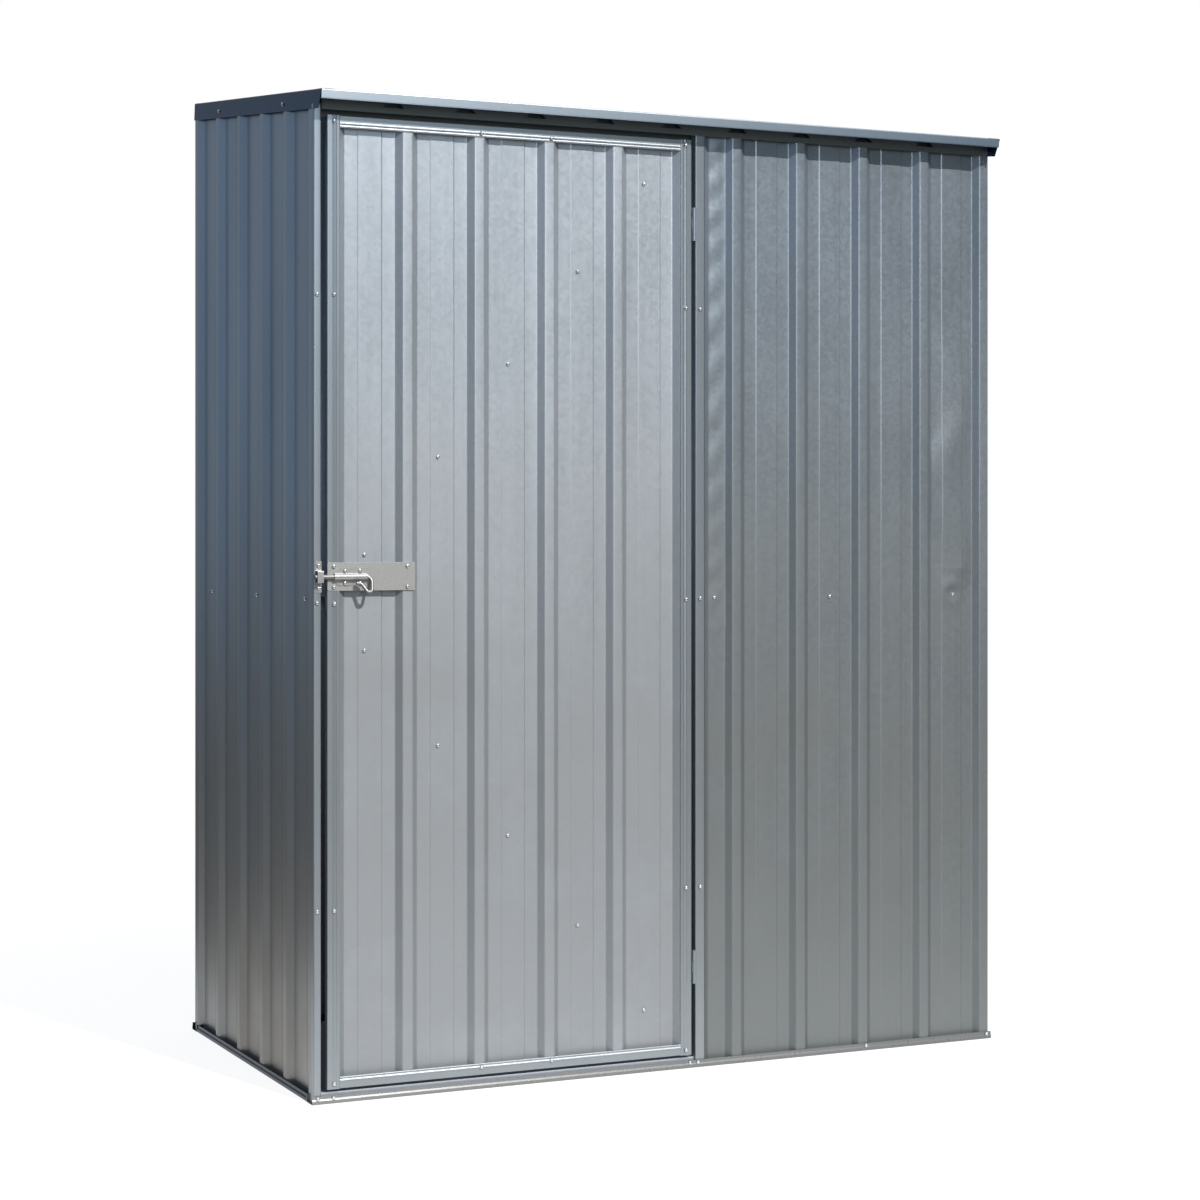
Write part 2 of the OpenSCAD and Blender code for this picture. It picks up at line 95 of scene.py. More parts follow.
class Wire:
    """A value in a node tree; arithmetic on it adds Math nodes."""

    def __init__(self, nodes: "Nodes", socket: bpy.types.NodeSocket | None) -> None:
        """Keeps the tree and the socket."""
        self.nodes = nodes
        self.socket = socket

    def _math(self, operation: str, first: object, second: object) -> "Wire":
        """Adds one Math node.

        Args:
            operation: Name of the Math node's operation.
            first: Value or wire of its first socket.
            second: Value or wire of its second socket.

        Returns:
            The node's value.
        """
        return self.nodes.add("ShaderNodeMath", {"operation": operation}, {0: first, 1: second})

    def __add__(self, other: object) -> "Wire":
        """Sum."""
        return self._math("ADD", self, other)

    def __sub__(self, other: object) -> "Wire":
        """Difference."""
        return self._math("SUBTRACT", self, other)

    def __rsub__(self, other: object) -> "Wire":
        """Difference, with the number first."""
        return self._math("SUBTRACT", other, self)

    def __mul__(self, other: object) -> "Wire":
        """Product."""
        return self._math("MULTIPLY", self, other)

    def __rmul__(self, other: object) -> "Wire":
        """Product, with the number first."""
        return self._math("MULTIPLY", other, self)

    def __truediv__(self, other: object) -> "Wire":
        """Quotient."""
        return self._math("DIVIDE", self, other)

    def __pow__(self, other: object) -> "Wire":
        """Power."""
        return self._math("POWER", self, other)


class Nodes:
    """Node tree of one finish, lamp or backdrop."""

    def __init__(self, tree: bpy.types.NodeTree) -> None:
        """Empties the tree."""
        self.tree = tree
        tree.nodes.clear()

    def add(self, kind: str, settings: dict[str, object], inputs: dict[int | str, object],
            output: int | str = 0) -> Wire:
        """Adds a node.

        Args:
            kind: Blender's name of the node's type.
            settings: Properties of the node.
            inputs: Values or wires by socket name or number.
            output: Name or number of the socket to return.

        Returns:
            The chosen output, which is empty on a node that has none.
        """
        node = self.tree.nodes.new(kind)
        for name, value in settings.items():
            setattr(node, name, value)
        for name, value in inputs.items():
            if isinstance(value, Wire):
                self.tree.links.new(value.socket, node.inputs[name])
            else:
                node.inputs[name].default_value = value
        return Wire(self, node.outputs[output] if len(node.outputs) else None)

    def mixed(self, share: Wire, first: object, second: object) -> Wire:
        """Mixes two colours.

        Args:
            share: How much of the second colour shows.
            first: Colour or wire at a share of 0.
            second: Colour or wire at a share of 1.

        Returns:
            The mixed colour.
        """
        return self.add("ShaderNodeMix", {"data_type": "RGBA", "clamp_factor": True},
                        {0: share, 6: first, 7: second}, 2)

    def eased(self, value: Wire, low: float, high: float) -> Wire:
        """Runs smoothly from 0 at low to 1 at high.

        Args:
            value: Wire to read.
            low: Value that gives 0.
            high: Value that gives 1.

        Returns:
            The eased value.
        """
        return self.add("ShaderNodeMapRange", {"interpolation_type": "SMOOTHSTEP"},
                        {"Value": value, "From Min": low, "From Max": high})

    def noise(self, place: Wire, scale: float, detail: float, roughness: float = 0.5) -> Wire:
        """Smooth noise about one half.

        Args:
            place: Coordinates to read.
            scale: How close the blotches lie.
            detail: How many finer layers are added.
            roughness: Share of the finer layers.

        Returns:
            The noise.
        """
        return self.add("ShaderNodeTexNoise", {},
                        {"Vector": place, "Scale": scale, "Detail": detail, "Roughness": roughness})

    def axes(self, place: Wire, letters: str) -> list[Wire]:
        """Coordinates of a place along the axes that the letters name."""
        return [self.add("ShaderNodeSeparateXYZ", {}, {0: place}, letter) for letter in letters]


@dataclass(frozen=True)
class Galvanised:
    """Galvanised steel: fine spangle, rolling streaks, soft ripples with painted sheen, darker and warmer
    towards the ground (part dirt, part painted shade), and an optional painted reflection that runs along
    the length.
    """

    name: str
    tint: Colour
    roughness: float
    metallic: float = 0.72
    gloss: float = 0.3
    spangle: float = 0.05
    spangle_scale: float = 150.0
    cloud: float = 0.08
    cloud_scale: float = 3.2
    streak: float = 0.05
    streak_scale: Triple = (95.0, 95.0, 1.3)
    # Lengthwise stripes of tone from the ripples' own noise: part random tone, part painted sheen of the
    # ripples.
    tone_and_sheen: float = 0.36
    tone_and_sheen_scale: Triple = (9.0, 9.0, 1.6)
    ripple: float = 0.35 * MM
    grit: float = 0.005 * MM
    grit_scale: float = 420.0
    wear: float = 1.2
    # Darker, warmer colour towards the ground: part dirt, part painted shade, which also dims the middle
    # height where a dark horizon would be mirrored.
    soil_and_shade: float = 0.75
    soil_and_shade_height: float = 1.9
    soil_and_shade_tint: Colour = (0.62, 0.575, 0.51)
    soil_and_shade_dulling: float = 0.12
    soil_and_shade_roughness: float = 0.2
    # Tint at the right end, which the colour runs to from the left: a painted reflection that lights one end
    # and dims the other.
    painted_reflection_end_tint: Colour | None = None
    half_length: float = 0.755

    def build(self) -> bpy.types.Material:
        """Makes the material.

        Returns:
            The new material.
        """
        material = bpy.data.materials.new(self.name)
        material.use_nodes = True
        nodes = Nodes(material.node_tree)
        place = nodes.add("ShaderNodeTexCoord", {}, {}, "Object")
        along, height = nodes.axes(place, "XZ")
        # Painted reflection: the colour runs from the left end's tint to the right end's tint along the
        # length.
        painted_reflection_share = along * (0.5 / self.half_length) + 0.5
        tint = nodes.mixed(painted_reflection_share, (*self.tint, 1.0), (*(self.painted_reflection_end_tint or self.tint), 1.0))
        cell = nodes.add("ShaderNodeTexVoronoi", {"feature": "F1"},
                         {"Vector": place, "Scale": self.spangle_scale}, "Color")
        grain = nodes.add("ShaderNodeSeparateColor", {}, {0: cell})
        cloud = nodes.noise(place, self.cloud_scale, detail=5.0, roughness=0.62)
        drawn = nodes.add("ShaderNodeMapping", {}, {"Vector": place, "Scale": self.streak_scale})
        streak = nodes.noise(drawn, scale=1.0, detail=3.0)
        rolled = nodes.add("ShaderNodeMapping", {}, {"Vector": place, "Scale": self.tone_and_sheen_scale})
        swell = nodes.noise(rolled, scale=1.0, detail=1.0)
        fine = nodes.noise(place, self.grit_scale, detail=2.0)
        # Colour level from spangle, clouds, streaks and the lengthwise stripes of painted sheen.
        level = (self.spangle * (grain - 0.5) + self.cloud * (cloud - 0.5)
                 + self.streak * (streak - 0.5) + self.tone_and_sheen * (swell - 0.5) + 1.0)
        bare = nodes.add("ShaderNodeVectorMath", {"operation": "SCALE"}, {0: tint, "Scale": level})
        # Mask that grows towards the ground, squared so that the middle height darkens too: part dirt, part
        # painted shade.
        clear_of_soil_and_shade = nodes.eased(height, 0.0, self.soil_and_shade_height)
        low = 1.0 - clear_of_soil_and_shade * clear_of_soil_and_shade
        soil_and_shade_film = low * (cloud + 0.5) * self.soil_and_shade
        soil_and_shade_colour = [part * shade for part, shade in zip(self.tint, self.soil_and_shade_tint)]
        soiled_and_shaded = nodes.mixed(soil_and_shade_film, bare, (*soil_and_shade_colour, 1.0))
        metal = self.metallic - soil_and_shade_film * (self.soil_and_shade_dulling * self.metallic)
        worn = (cloud - 0.5) * (self.wear * self.cloud) + (streak - 0.5) * (self.wear * self.streak)
        rough = worn + (grain - 0.5) * self.spangle + soil_and_shade_film * self.soil_and_shade_roughness + self.roughness
        relief = swell * self.ripple + fine * self.grit
        bump = nodes.add("ShaderNodeBump", {}, {"Strength": 1.0, "Distance": 1.0, "Height": relief})
        shader = nodes.add("ShaderNodeBsdfPrincipled", {}, {
            "Base Color": soiled_and_shaded, "Metallic": metal, "Roughness": rough, "Normal": bump,
            "Specular IOR Level": self.gloss})
        nodes.add("ShaderNodeOutputMaterial", {}, {"Surface": shader})
        return material


@dataclass(frozen=True)
class Plated:
    """Zinc-plated fittings: cloudy patina and a little dulling, with no spangle."""

    name: str
    tint: Colour
    roughness: float
    metallic: float = 0.6
    patina: float = 0.16
    patina_scale: float = 55.0
    fleck_scale: float = 620.0
    fleck_depth: float = 0.02 * MM
    dulling: float = 0.2

    def build(self) -> bpy.types.Material:
        """Makes the material.

        Returns:
            The new material.
        """
        material = bpy.data.materials.new(self.name)
        material.use_nodes = True
        nodes = Nodes(material.node_tree)
        place = nodes.add("ShaderNodeTexCoord", {}, {}, "Object")
        cloud = nodes.noise(place, self.patina_scale, detail=6.0, roughness=0.6)
        fleck = nodes.noise(place, self.fleck_scale, detail=2.0)
        level = self.patina * (cloud - 0.5) + 0.5 * self.patina * (fleck - 0.5) + 1.0
        shade = nodes.add("ShaderNodeVectorMath", {"operation": "SCALE"}, {0: self.tint, "Scale": level})
        rough = (cloud - 0.5) * self.dulling + self.roughness
        relief = fleck * self.fleck_depth
        bump = nodes.add("ShaderNodeBump", {}, {"Strength": 1.0, "Distance": 1.0, "Height": relief})
        shader = nodes.add("ShaderNodeBsdfPrincipled", {}, {
            "Base Color": shade, "Metallic": self.metallic, "Roughness": rough, "Normal": bump})
        nodes.add("ShaderNodeOutputMaterial", {}, {"Surface": shader})
        return material


class Finishes:
    """Every finish of the shed, made once."""

    def __init__(self) -> None:
        """Builds the materials."""
        # On the sheets and frames, the darkening towards the ground is part dirt and part painted shade.
        self.door = Galvanised(
            "galvanised_door_sheet", (0.55, 0.595, 0.645), roughness=0.39,
            soil_and_shade=1.0, soil_and_shade_tint=(0.63, 0.61, 0.585)).build()
        # Darker copy of the door sheet's finish for the front sheet and the roof: part duller zinc, part
        # painted shade for their dimmer reflection.
        self.wall = Galvanised(
            "galvanised_front_sheet", (0.365, 0.42, 0.475), roughness=0.33, soil_and_shade=1.0).build()
        # Glossier, bluer copy of the sheet finish for the side and rear sheets: the blue is partly painted
        # sky reflection on the shaded walls.
        self.side = Galvanised(
            "galvanised_side_sheet", (0.44, 0.505, 0.575), roughness=0.30, metallic=0.8,
            spangle=0.03, grit=0.002 * MM,
            soil_and_shade=0.9, soil_and_shade_height=1.26, soil_and_shade_tint=(0.76, 0.62, 0.49)).build()
        smooth = {"spangle": 0.015, "cloud": 0.03, "streak": 0.01, "tone_and_sheen": 0.04,
                  "ripple": 0.03 * MM, "grit": 0.0005 * MM}
        self.frame = Galvanised(
            "galvanised_frame", (0.415, 0.465, 0.51), roughness=0.30, soil_and_shade=0.5, **smooth).build()
        # Lighter copy of the frame finish for the door's top rail: painted light, which brightens the rail
        # under the roof's shadow.
        self.head = Galvanised(
            "galvanised_door_head_painted_light", (0.45, 0.492, 0.53), roughness=0.35, soil_and_shade=0.5, **smooth).build()
        clear_of_soil_and_shade = {**smooth, "soil_and_shade": 0.0}
        # The front base channel darkens towards its right end: painted reflection.
        self.base = Galvanised(
            "galvanised_base_front", (0.285, 0.285, 0.28), roughness=0.28, metallic=0.4,
            painted_reflection_end_tint=(0.195, 0.20, 0.20), **clear_of_soil_and_shade).build()
        # Lighter, bluer copy of the frame finish for the door sill: painted light.
        self.sill = Galvanised(
            "galvanised_sill_painted_light", (0.58, 0.63, 0.68), roughness=0.30, metallic=0.6, **clear_of_soil_and_shade).build()
        # Near-black navy for the side and rear base channels: painted shade.
        self.rail = Galvanised(
            "galvanised_base_sides_painted_shade", (0.02, 0.034, 0.055), roughness=0.34, metallic=0.5, **clear_of_soil_and_shade).build()
        # Dark, dull finish for the header over the doorway: painted shade, since the header stands under the
        # roof's overhang.
        self.header = Galvanised(
            "galvanised_header_painted_shade", (0.15, 0.172, 0.168), roughness=0.46, metallic=0.3, **clear_of_soil_and_shade).build()
        # Dark navy for the flashings and the rear trim: a painted dark reflection of the sky beside and
        # behind the shed.
        self.trim = Galvanised(
            "galvanised_trim_painted_reflection", (0.03, 0.075, 0.15), roughness=0.25, metallic=0.85, **clear_of_soil_and_shade).build()
        # Fascia: light at the left end and dark at the right, a painted reflection of the surroundings.
        self.fascia = Galvanised(
            "galvanised_fascia_painted_reflection", (0.77, 0.88, 0.97), roughness=0.34, metallic=0.6,
            painted_reflection_end_tint=(0.25, 0.335, 0.43), **clear_of_soil_and_shade).build()
        self.plate = Plated(
            "zinc_plate", (0.43, 0.43, 0.41), roughness=0.45, metallic=0.45,
            patina=0.30, patina_scale=240.0).build()
        self.strap = Plated("zinc_strap", (0.50, 0.495, 0.475), roughness=0.33, metallic=0.5).build()
        self.rod = Plated("zinc_rod", (0.30, 0.296, 0.285), roughness=0.42, patina=0.10).build()
        self.rivet = Plated(
            "rivet_alloy", (0.70, 0.71, 0.72), roughness=0.22, metallic=0.75, patina=0.06).build()


class Bench:
    """Modelling steps taken by hand on one new piece at a time."""

    @staticmethod
    def clear() -> None:
        """Deselects every object."""
        bpy.ops.object.select_all(action="DESELECT")

    @staticmethod
    def named(name: str) -> bpy.types.Object:
        """Names the new object and its mesh.

        Args:
            name: Name for both.

        Returns:
            The new object.
        """
        piece = bpy.context.object
        piece.name = piece.data.name = name
        return piece

    @staticmethod
    def edit() -> None:
        """Enters edit mode with everything selected."""
        bpy.ops.object.mode_set(mode="EDIT")
        bpy.ops.mesh.select_mode(type="VERT")
        bpy.ops.mesh.select_all(action="SELECT")

    @staticmethod
    def leave() -> None:
        """Goes back to object mode."""
        bpy.ops.object.mode_set(mode="OBJECT")

    @staticmethod
    def trace(name: str, points: list[Vector]) -> bpy.types.Object:
        """Draws an open line by pulling one point along it, and stays in edit mode.

        Args:
            name: Name of the new piece.
            points: Corners of the line.

        Returns:
            The new piece.
        """
        Bench.clear()
        bpy.ops.mesh.primitive_plane_add(size=MM, location=(0.0, 0.0, 0.0))
        piece = Bench.named(name)
        Bench.edit()
        bpy.ops.mesh.merge(type="CENTER")
        bpy.ops.transform.translate(value=points[0])
        for before, after in zip(points, points[1:]):
            bpy.ops.mesh.extrude_vertices_move(TRANSFORM_OT_translate={"value": after - before})
        return piece

    @staticmethod
    def sweep(step: Vector) -> None:
        """Pulls the traced line out into a sheet."""
        bpy.ops.mesh.select_all(action="SELECT")
        bpy.ops.mesh.extrude_edges_move(TRANSFORM_OT_translate={"value": step})

    @staticmethod
    def pick(test: Callable[[Vector], bool]) -> None:
        """Selects the points of the edited mesh that pass a test.

        Args:
            test: Takes a point's place and says whether it is picked.
        """
        mesh = bmesh.from_edit_mesh(bpy.context.object.data)
        for vertex in mesh.verts:
            vertex.select = test(vertex.co)
        mesh.select_flush(True)
        mesh.select_flush(False)
        bmesh.update_edit_mesh(bpy.context.object.data)

    @staticmethod
    def crease(flatter: float, steeper: float) -> None:
        """Keeps the bends between two angles crisp.

        Args:
            flatter: Angle in degrees below which a bend stays soft.
            steeper: Angle in degrees above which it will be rounded.
        """
        bpy.ops.mesh.select_all(action="DESELECT")
        bpy.ops.mesh.select_mode(type="EDGE")
        mesh = bmesh.from_edit_mesh(bpy.context.object.data)
        for edge in mesh.edges:
            edge.select_set(flatter < math.degrees(edge.calc_face_angle(0.0)) < steeper)
        bmesh.update_edit_mesh(bpy.context.object.data)
        bpy.ops.mesh.mark_sharp()
        bpy.ops.mesh.select_mode(type="VERT")

    @staticmethod
    def soften(radius: float, sharper_than: float, segments: int = 2) -> None:
        """Rounds the bends that are sharper than an angle.

        Args:
            radius: Length of the bevel on either side of a bend.
            sharper_than: Angle in degrees.
            segments: Facets of each bend.
        """
        bpy.ops.mesh.select_all(action="DESELECT")
        bpy.ops.mesh.select_mode(type="EDGE")
        bpy.ops.mesh.edges_select_sharp(sharpness=math.radians(sharper_than))
        bpy.ops.mesh.bevel(offset=radius, segments=segments, affect="EDGES", clamp_overlap=True)
        bpy.ops.mesh.select_mode(type="VERT")

    @staticmethod
    def cut(point: Vector, normal: Vector, drop: bool = False) -> None:
        """Cuts the sheet with a plane, and may drop the side that the normal points to."""
        bpy.ops.mesh.select_all(action="SELECT")
        bpy.ops.mesh.bisect(plane_co=point, plane_no=normal, clear_outer=drop)

    @staticmethod
    def modify(piece: bpy.types.Object, kind: str, **settings: object) -> None:
        """Adds a modifier and applies it.

        Args:
            piece: The active object.
            kind: Blender's name of the modifier's type.
            settings: Properties of the modifier.
        """
        modifier = piece.modifiers.new(kind.lower(), kind)
        for name, value in settings.items():
            setattr(modifier, name, value)
        bpy.ops.object.modifier_apply(modifier=modifier.name)

    @staticmethod
    def smooth(piece: bpy.types.Object, angle: float = 32.0) -> None:
        """Shades the piece smooth below an angle, with flat faces kept flat."""
        bpy.ops.object.shade_smooth_by_angle(angle=math.radians(angle))
        Bench.modify(piece, "WEIGHTED_NORMAL", keep_sharp=True)

    @staticmethod
    def thicken(piece: bpy.types.Object, thickness: float) -> None:
        """Gives the sheet its thickness, half to each side, and shades it."""
        Bench.modify(piece, "SOLIDIFY", thickness=thickness, offset=0.0, use_even_offset=True)
        Bench.smooth(piece)

    @staticmethod
    def close() -> None:
        """Merges doubles, turns the faces outwards and leaves edit mode."""
        bpy.ops.mesh.select_all(action="SELECT")
        bpy.ops.mesh.remove_doubles(threshold=WELD)
        bpy.ops.mesh.normals_make_consistent(inside=False)
        Bench.leave()


def dress(piece: bpy.types.Object, finish: bpy.types.Material, body: Body, slot: Slot, *nodes: str) -> None:
    """Gives a finished piece its finish and its body, and hides the CAD nodes that it replaces.

    Args:
        piece: The finished piece.
        finish: Its material.
        body: The body that it rides on.
        slot: Not used.
        nodes: CAD nodes that it replaces.
    """
    piece.data.materials.clear()
    piece.data.materials.append(finish)
    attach(piece, body.value)
    if nodes:
        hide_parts(*nodes)
    LOG.info("%s: %d faces on %s", piece.name, len(piece.data.polygons), body.value)


@dataclass(frozen=True)
class ShedSizes:
    """Main sizes, in metres from the base's front left corner."""

    corner: Vector
    base_w: float = 1.510
    base_d: float = 0.784
    front_h: float = 1.861
    roof_rise: float = 0.092
    overhang: float = 0.038
    inset: float = 0.005
    sheet_t: float = 0.0008
    frame_t: float = 0.0012
    trim_t: float = 0.001
    seat: float = 0.0002
    rib_depth: float = 0.012
    flashing_h: float = 0.036
    header_lap: float = 0.010
    mid_rail_z: float = 0.941

    @property
    def wall_x1(self) -> float:
        """Outer face of the right wall."""
        return self.base_w - self.inset

    @property
    def wall_y1(self) -> float:
        """Outer face of the rear wall."""
        return self.base_d - self.inset

    @property
    def skin(self) -> float:
        """Depth of a ribbed sheet."""
        return self.rib_depth + self.sheet_t

    @property
    def slope(self) -> float:
        """Roof angle in radians."""
        return math.atan(self.roof_rise / self.base_d)

    @property
    def trim_n(self) -> float:
        """Height of the trims' top over the roof's underside."""
        return self.skin + self.seat + self.trim_t

    @property
    def roof_foot(self) -> float:
        """Height of the roof's underside over the base's front edge."""
        drop = (self.flashing_h - self.trim_n) / math.cos(self.slope)
        return self.front_h - self.inset * math.tan(self.slope) + drop

    @property
    def roof_s0(self) -> float:
        """Slope length of the roof's front edge."""
        return (self.trim_n * math.sin(self.slope) - self.overhang) / math.cos(self.slope)

    @property
    def roof_s1(self) -> float:
        """Slope length of the roof's rear edge."""
        return (self.wall_y1 + self.seat) / math.cos(self.slope)

    def roof_z(self, y: float) -> float:
        """Height of the roof's underside at a depth."""
        return self.roof_foot + y * math.tan(self.slope)

    def at(self, x: float, y: float, z: float) -> Vector:
        """Point in the part's frame."""
        return self.corner + Vector((x, y, z))

    @property
    def up_slope(self) -> Vector:
        """Direction up the roof."""
        return Vector((0.0, math.cos(self.slope), math.sin(self.slope)))

    @property
    def off_roof(self) -> Vector:
        """Direction off the roof."""
        return Vector((0.0, -math.sin(self.slope), math.cos(self.slope)))

    def on_roof(self, x: float, s: float, n: float) -> Vector:
        """Point given along the roof, up its slope and off it."""
        return self.at(x, 0.0, self.roof_foot) + s * self.up_slope + n * self.off_roof


@dataclass(frozen=True)
class Layout:
    """Where a section is drawn and which way it is swept."""

    origin: Vector
    across: Vector
    inward: Vector
    along: Vector

    def place(self, point: Point, run: float = 0.0) -> Vector:
        """Point of the section after a run along the sweep."""
        return self.origin + point[0] * self.across + point[1] * self.inward + run * self.along


@dataclass(frozen=True)
class RibRoll:
    """Roll-formed section: trapezoid ribs, and a shallow raised swage in each wide pan."""

    pitch: float = 0.148
    depth: float = 0.012
    crest: float = 0.020
    flank: float = 0.012
    end_room: float = 0.088
    wide_pan: float = 0.080
    swage_from: float = 0.26
    swage_to: float = 0.75
    swage_rise: float = 0.0009
    swage_run: float = 0.0024

    def centred(self, a: float, b: float) -> list[float]:
        """Centres of the ribs that fit between a and b, set about the middle."""
        count = int((b - a - 2 * self.end_room) / self.pitch) + 1
        return [(a + b) / 2 + (i - (count - 1) / 2) * self.pitch for i in range(count)]

    def counted(self, last: float, room: float) -> list[float]:
        """Centres of the ribs counted back from an end crest, while they leave room.

        Args:
            last: Centre of the end crest.
            room: Length that the ribs may take up.

        Returns:
            The centres, from the far one on.
        """
        return [last - i * self.pitch for i in range(int(room / self.pitch), 0, -1)]

    def pan(self, a: float, b: float) -> list[Point]:
        """Points of one pan, with its swage if it is wide.

        Args:
            a: Foot of the flank before it.
            b: Foot of the flank after it.

        Returns:
            Places along the sheet with their depth behind the crests.
        """
        ends = [(a, self.depth), (b, self.depth)]
        if b - a < self.wide_pan:
            return ends
        rise, run = self.depth - self.swage_rise, self.swage_run
        c, d = a + self.swage_from * (b - a), a + self.swage_to * (b - a)
        return [ends[0], (c, self.depth), (c + run, rise), (d - run, rise), (d, self.depth), ends[1]]

    def line(self, a: float, b: float, edge_a: float, edge_b: float, ribs: list[float]) -> list[Point]:
        """Outer line of a sheet.

        Args:
            a: Where the sheet begins.
            b: Where it ends.
            edge_a: Width of the crest at its beginning.
            edge_b: Width of the crest at its end.
            ribs: Centres of the ribs between.

        Returns:
            Places along the sheet with their depth behind the crests.
        """
        half = self.crest / 2
        points: list[Point] = [(a, 0.0)] + ([(a + edge_a, 0.0)] if edge_a else [])
        foot = a + edge_a + self.flank
        for centre in ribs:
            points += self.pan(foot, centre - half - self.flank)
            points += [(centre - half, 0.0), (centre + half, 0.0)]
            foot = centre + half + self.flank
        points += self.pan(foot, b - edge_b - self.flank)
        return points + ([(b - edge_b, 0.0)] if edge_b else []) + [(b, 0.0)]

    @staticmethod
    def depth_at(line: list[Point], place: float) -> float:
        """Depth of a sheet's outer line at a place along it.

        Args:
            line: The outer line.
            place: Where along the sheet.

        Returns:
            The depth behind the crests.
        """
        for (a, first), (b, second) in zip(line, line[1:]):
            if a <= place <= b:
                return first + (second - first) * (place - a) / max(b - a, WELD)
        return 0.0


@dataclass(frozen=True)
class RibbedSheet:
    """One ribbed sheet: its line, where it stands, how far it runs and how it is cut and buckled."""

    name: str
    layout: Layout
    line: list[Point]
    run: float
    thickness: float
    row: float = 0.06
    bend: float = 2.4 * MM
    cuts: list[tuple[Vector, Vector]] = field(default_factory=list)
    seams: list[tuple[Vector, Vector]] = field(default_factory=list)
    buckle: Callable[[float, float], float] | None = None
    most_bulge: float = 6.0 * MM
    swage_angle: float = 17.0
    flank_angle: float = 41.0

    def build(self) -> bpy.types.Object:
        """Traces the line, sweeps it, rounds its bends, cuts it and gives it thickness.

        Returns:
            The finished sheet.
        """
        half = self.thickness / 2
        piece = Bench.trace(self.name, [self.layout.place((u, d + half)) for u, d in self.line])
        Bench.sweep(self.layout.along * self.run)
        Bench.crease(self.swage_angle, self.flank_angle)
        Bench.soften(self.bend, self.flank_angle)
        for point, normal in self.cuts:
            Bench.cut(point, normal, True)
        for point, normal in self.seams:
            Bench.cut(point, normal)
        rows = int(self.run / self.row)
        for i in range(1, rows):
            Bench.cut(self.layout.place((0.0, 0.0), self.run * i / rows), self.layout.along)
        Bench.close()
        if self.buckle:
            self._buckle(piece)
        Bench.thicken(piece, self.thickness)
        return piece

    def _buckle(self, piece: bpy.types.Object) -> None:
        """Bulges a sheet that faces the front by what the buckle gives for each point, in metres.

        Args:
            piece: The sheet, before it has thickness.
        """
        lay = self.layout
        group = piece.vertex_groups.new(name="buckle")
        for vertex in piece.data.vertices:
            from_origin = vertex.co - lay.origin
            bulge = self.buckle(from_origin.dot(lay.across), from_origin.dot(lay.along))
            group.add([vertex.index], min(max(bulge / self.most_bulge, 0.0), 1.0), "REPLACE")
        Bench.modify(piece, "DISPLACE", vertex_group="buckle", mid_level=0.0, direction="Y",
                     strength=-self.most_bulge * lay.inward.y)


@dataclass(frozen=True)
class FoldedStrip:
    """A strip folded to an open section, given by the middle of its thickness, and cut to length."""

    name: str
    layout: Layout
    section: list[Point]
    start: float
    end: float
    thickness: float
    bend: float = 1.4 * MM
    segments: int = 3
    cuts: list[tuple[Vector, Vector]] = field(default_factory=list)
    bead_bend: float = 0.4 * MM
    bead_angle: float = 18.0
    hem_angle: float = 34.0
    fold_angle: float = 50.0

    def build(self) -> bpy.types.Object:
        """Traces the section, sweeps it, rounds its folds, cuts it and gives it thickness.

        Returns:
            The finished strip.
        """
        piece = Bench.trace(self.name, [self.layout.place(point, self.start) for point in self.section])
        Bench.sweep(self.layout.along * (self.end - self.start))
        Bench.crease(self.bead_angle, self.hem_angle)
        Bench.soften(self.bend, self.fold_angle, self.segments)
        Bench.soften(self.bead_bend, self.hem_angle)
        for point, normal in self.cuts:
            Bench.cut(point, normal, True)
        Bench.close()
        Bench.thicken(piece, self.thickness)
        return piece


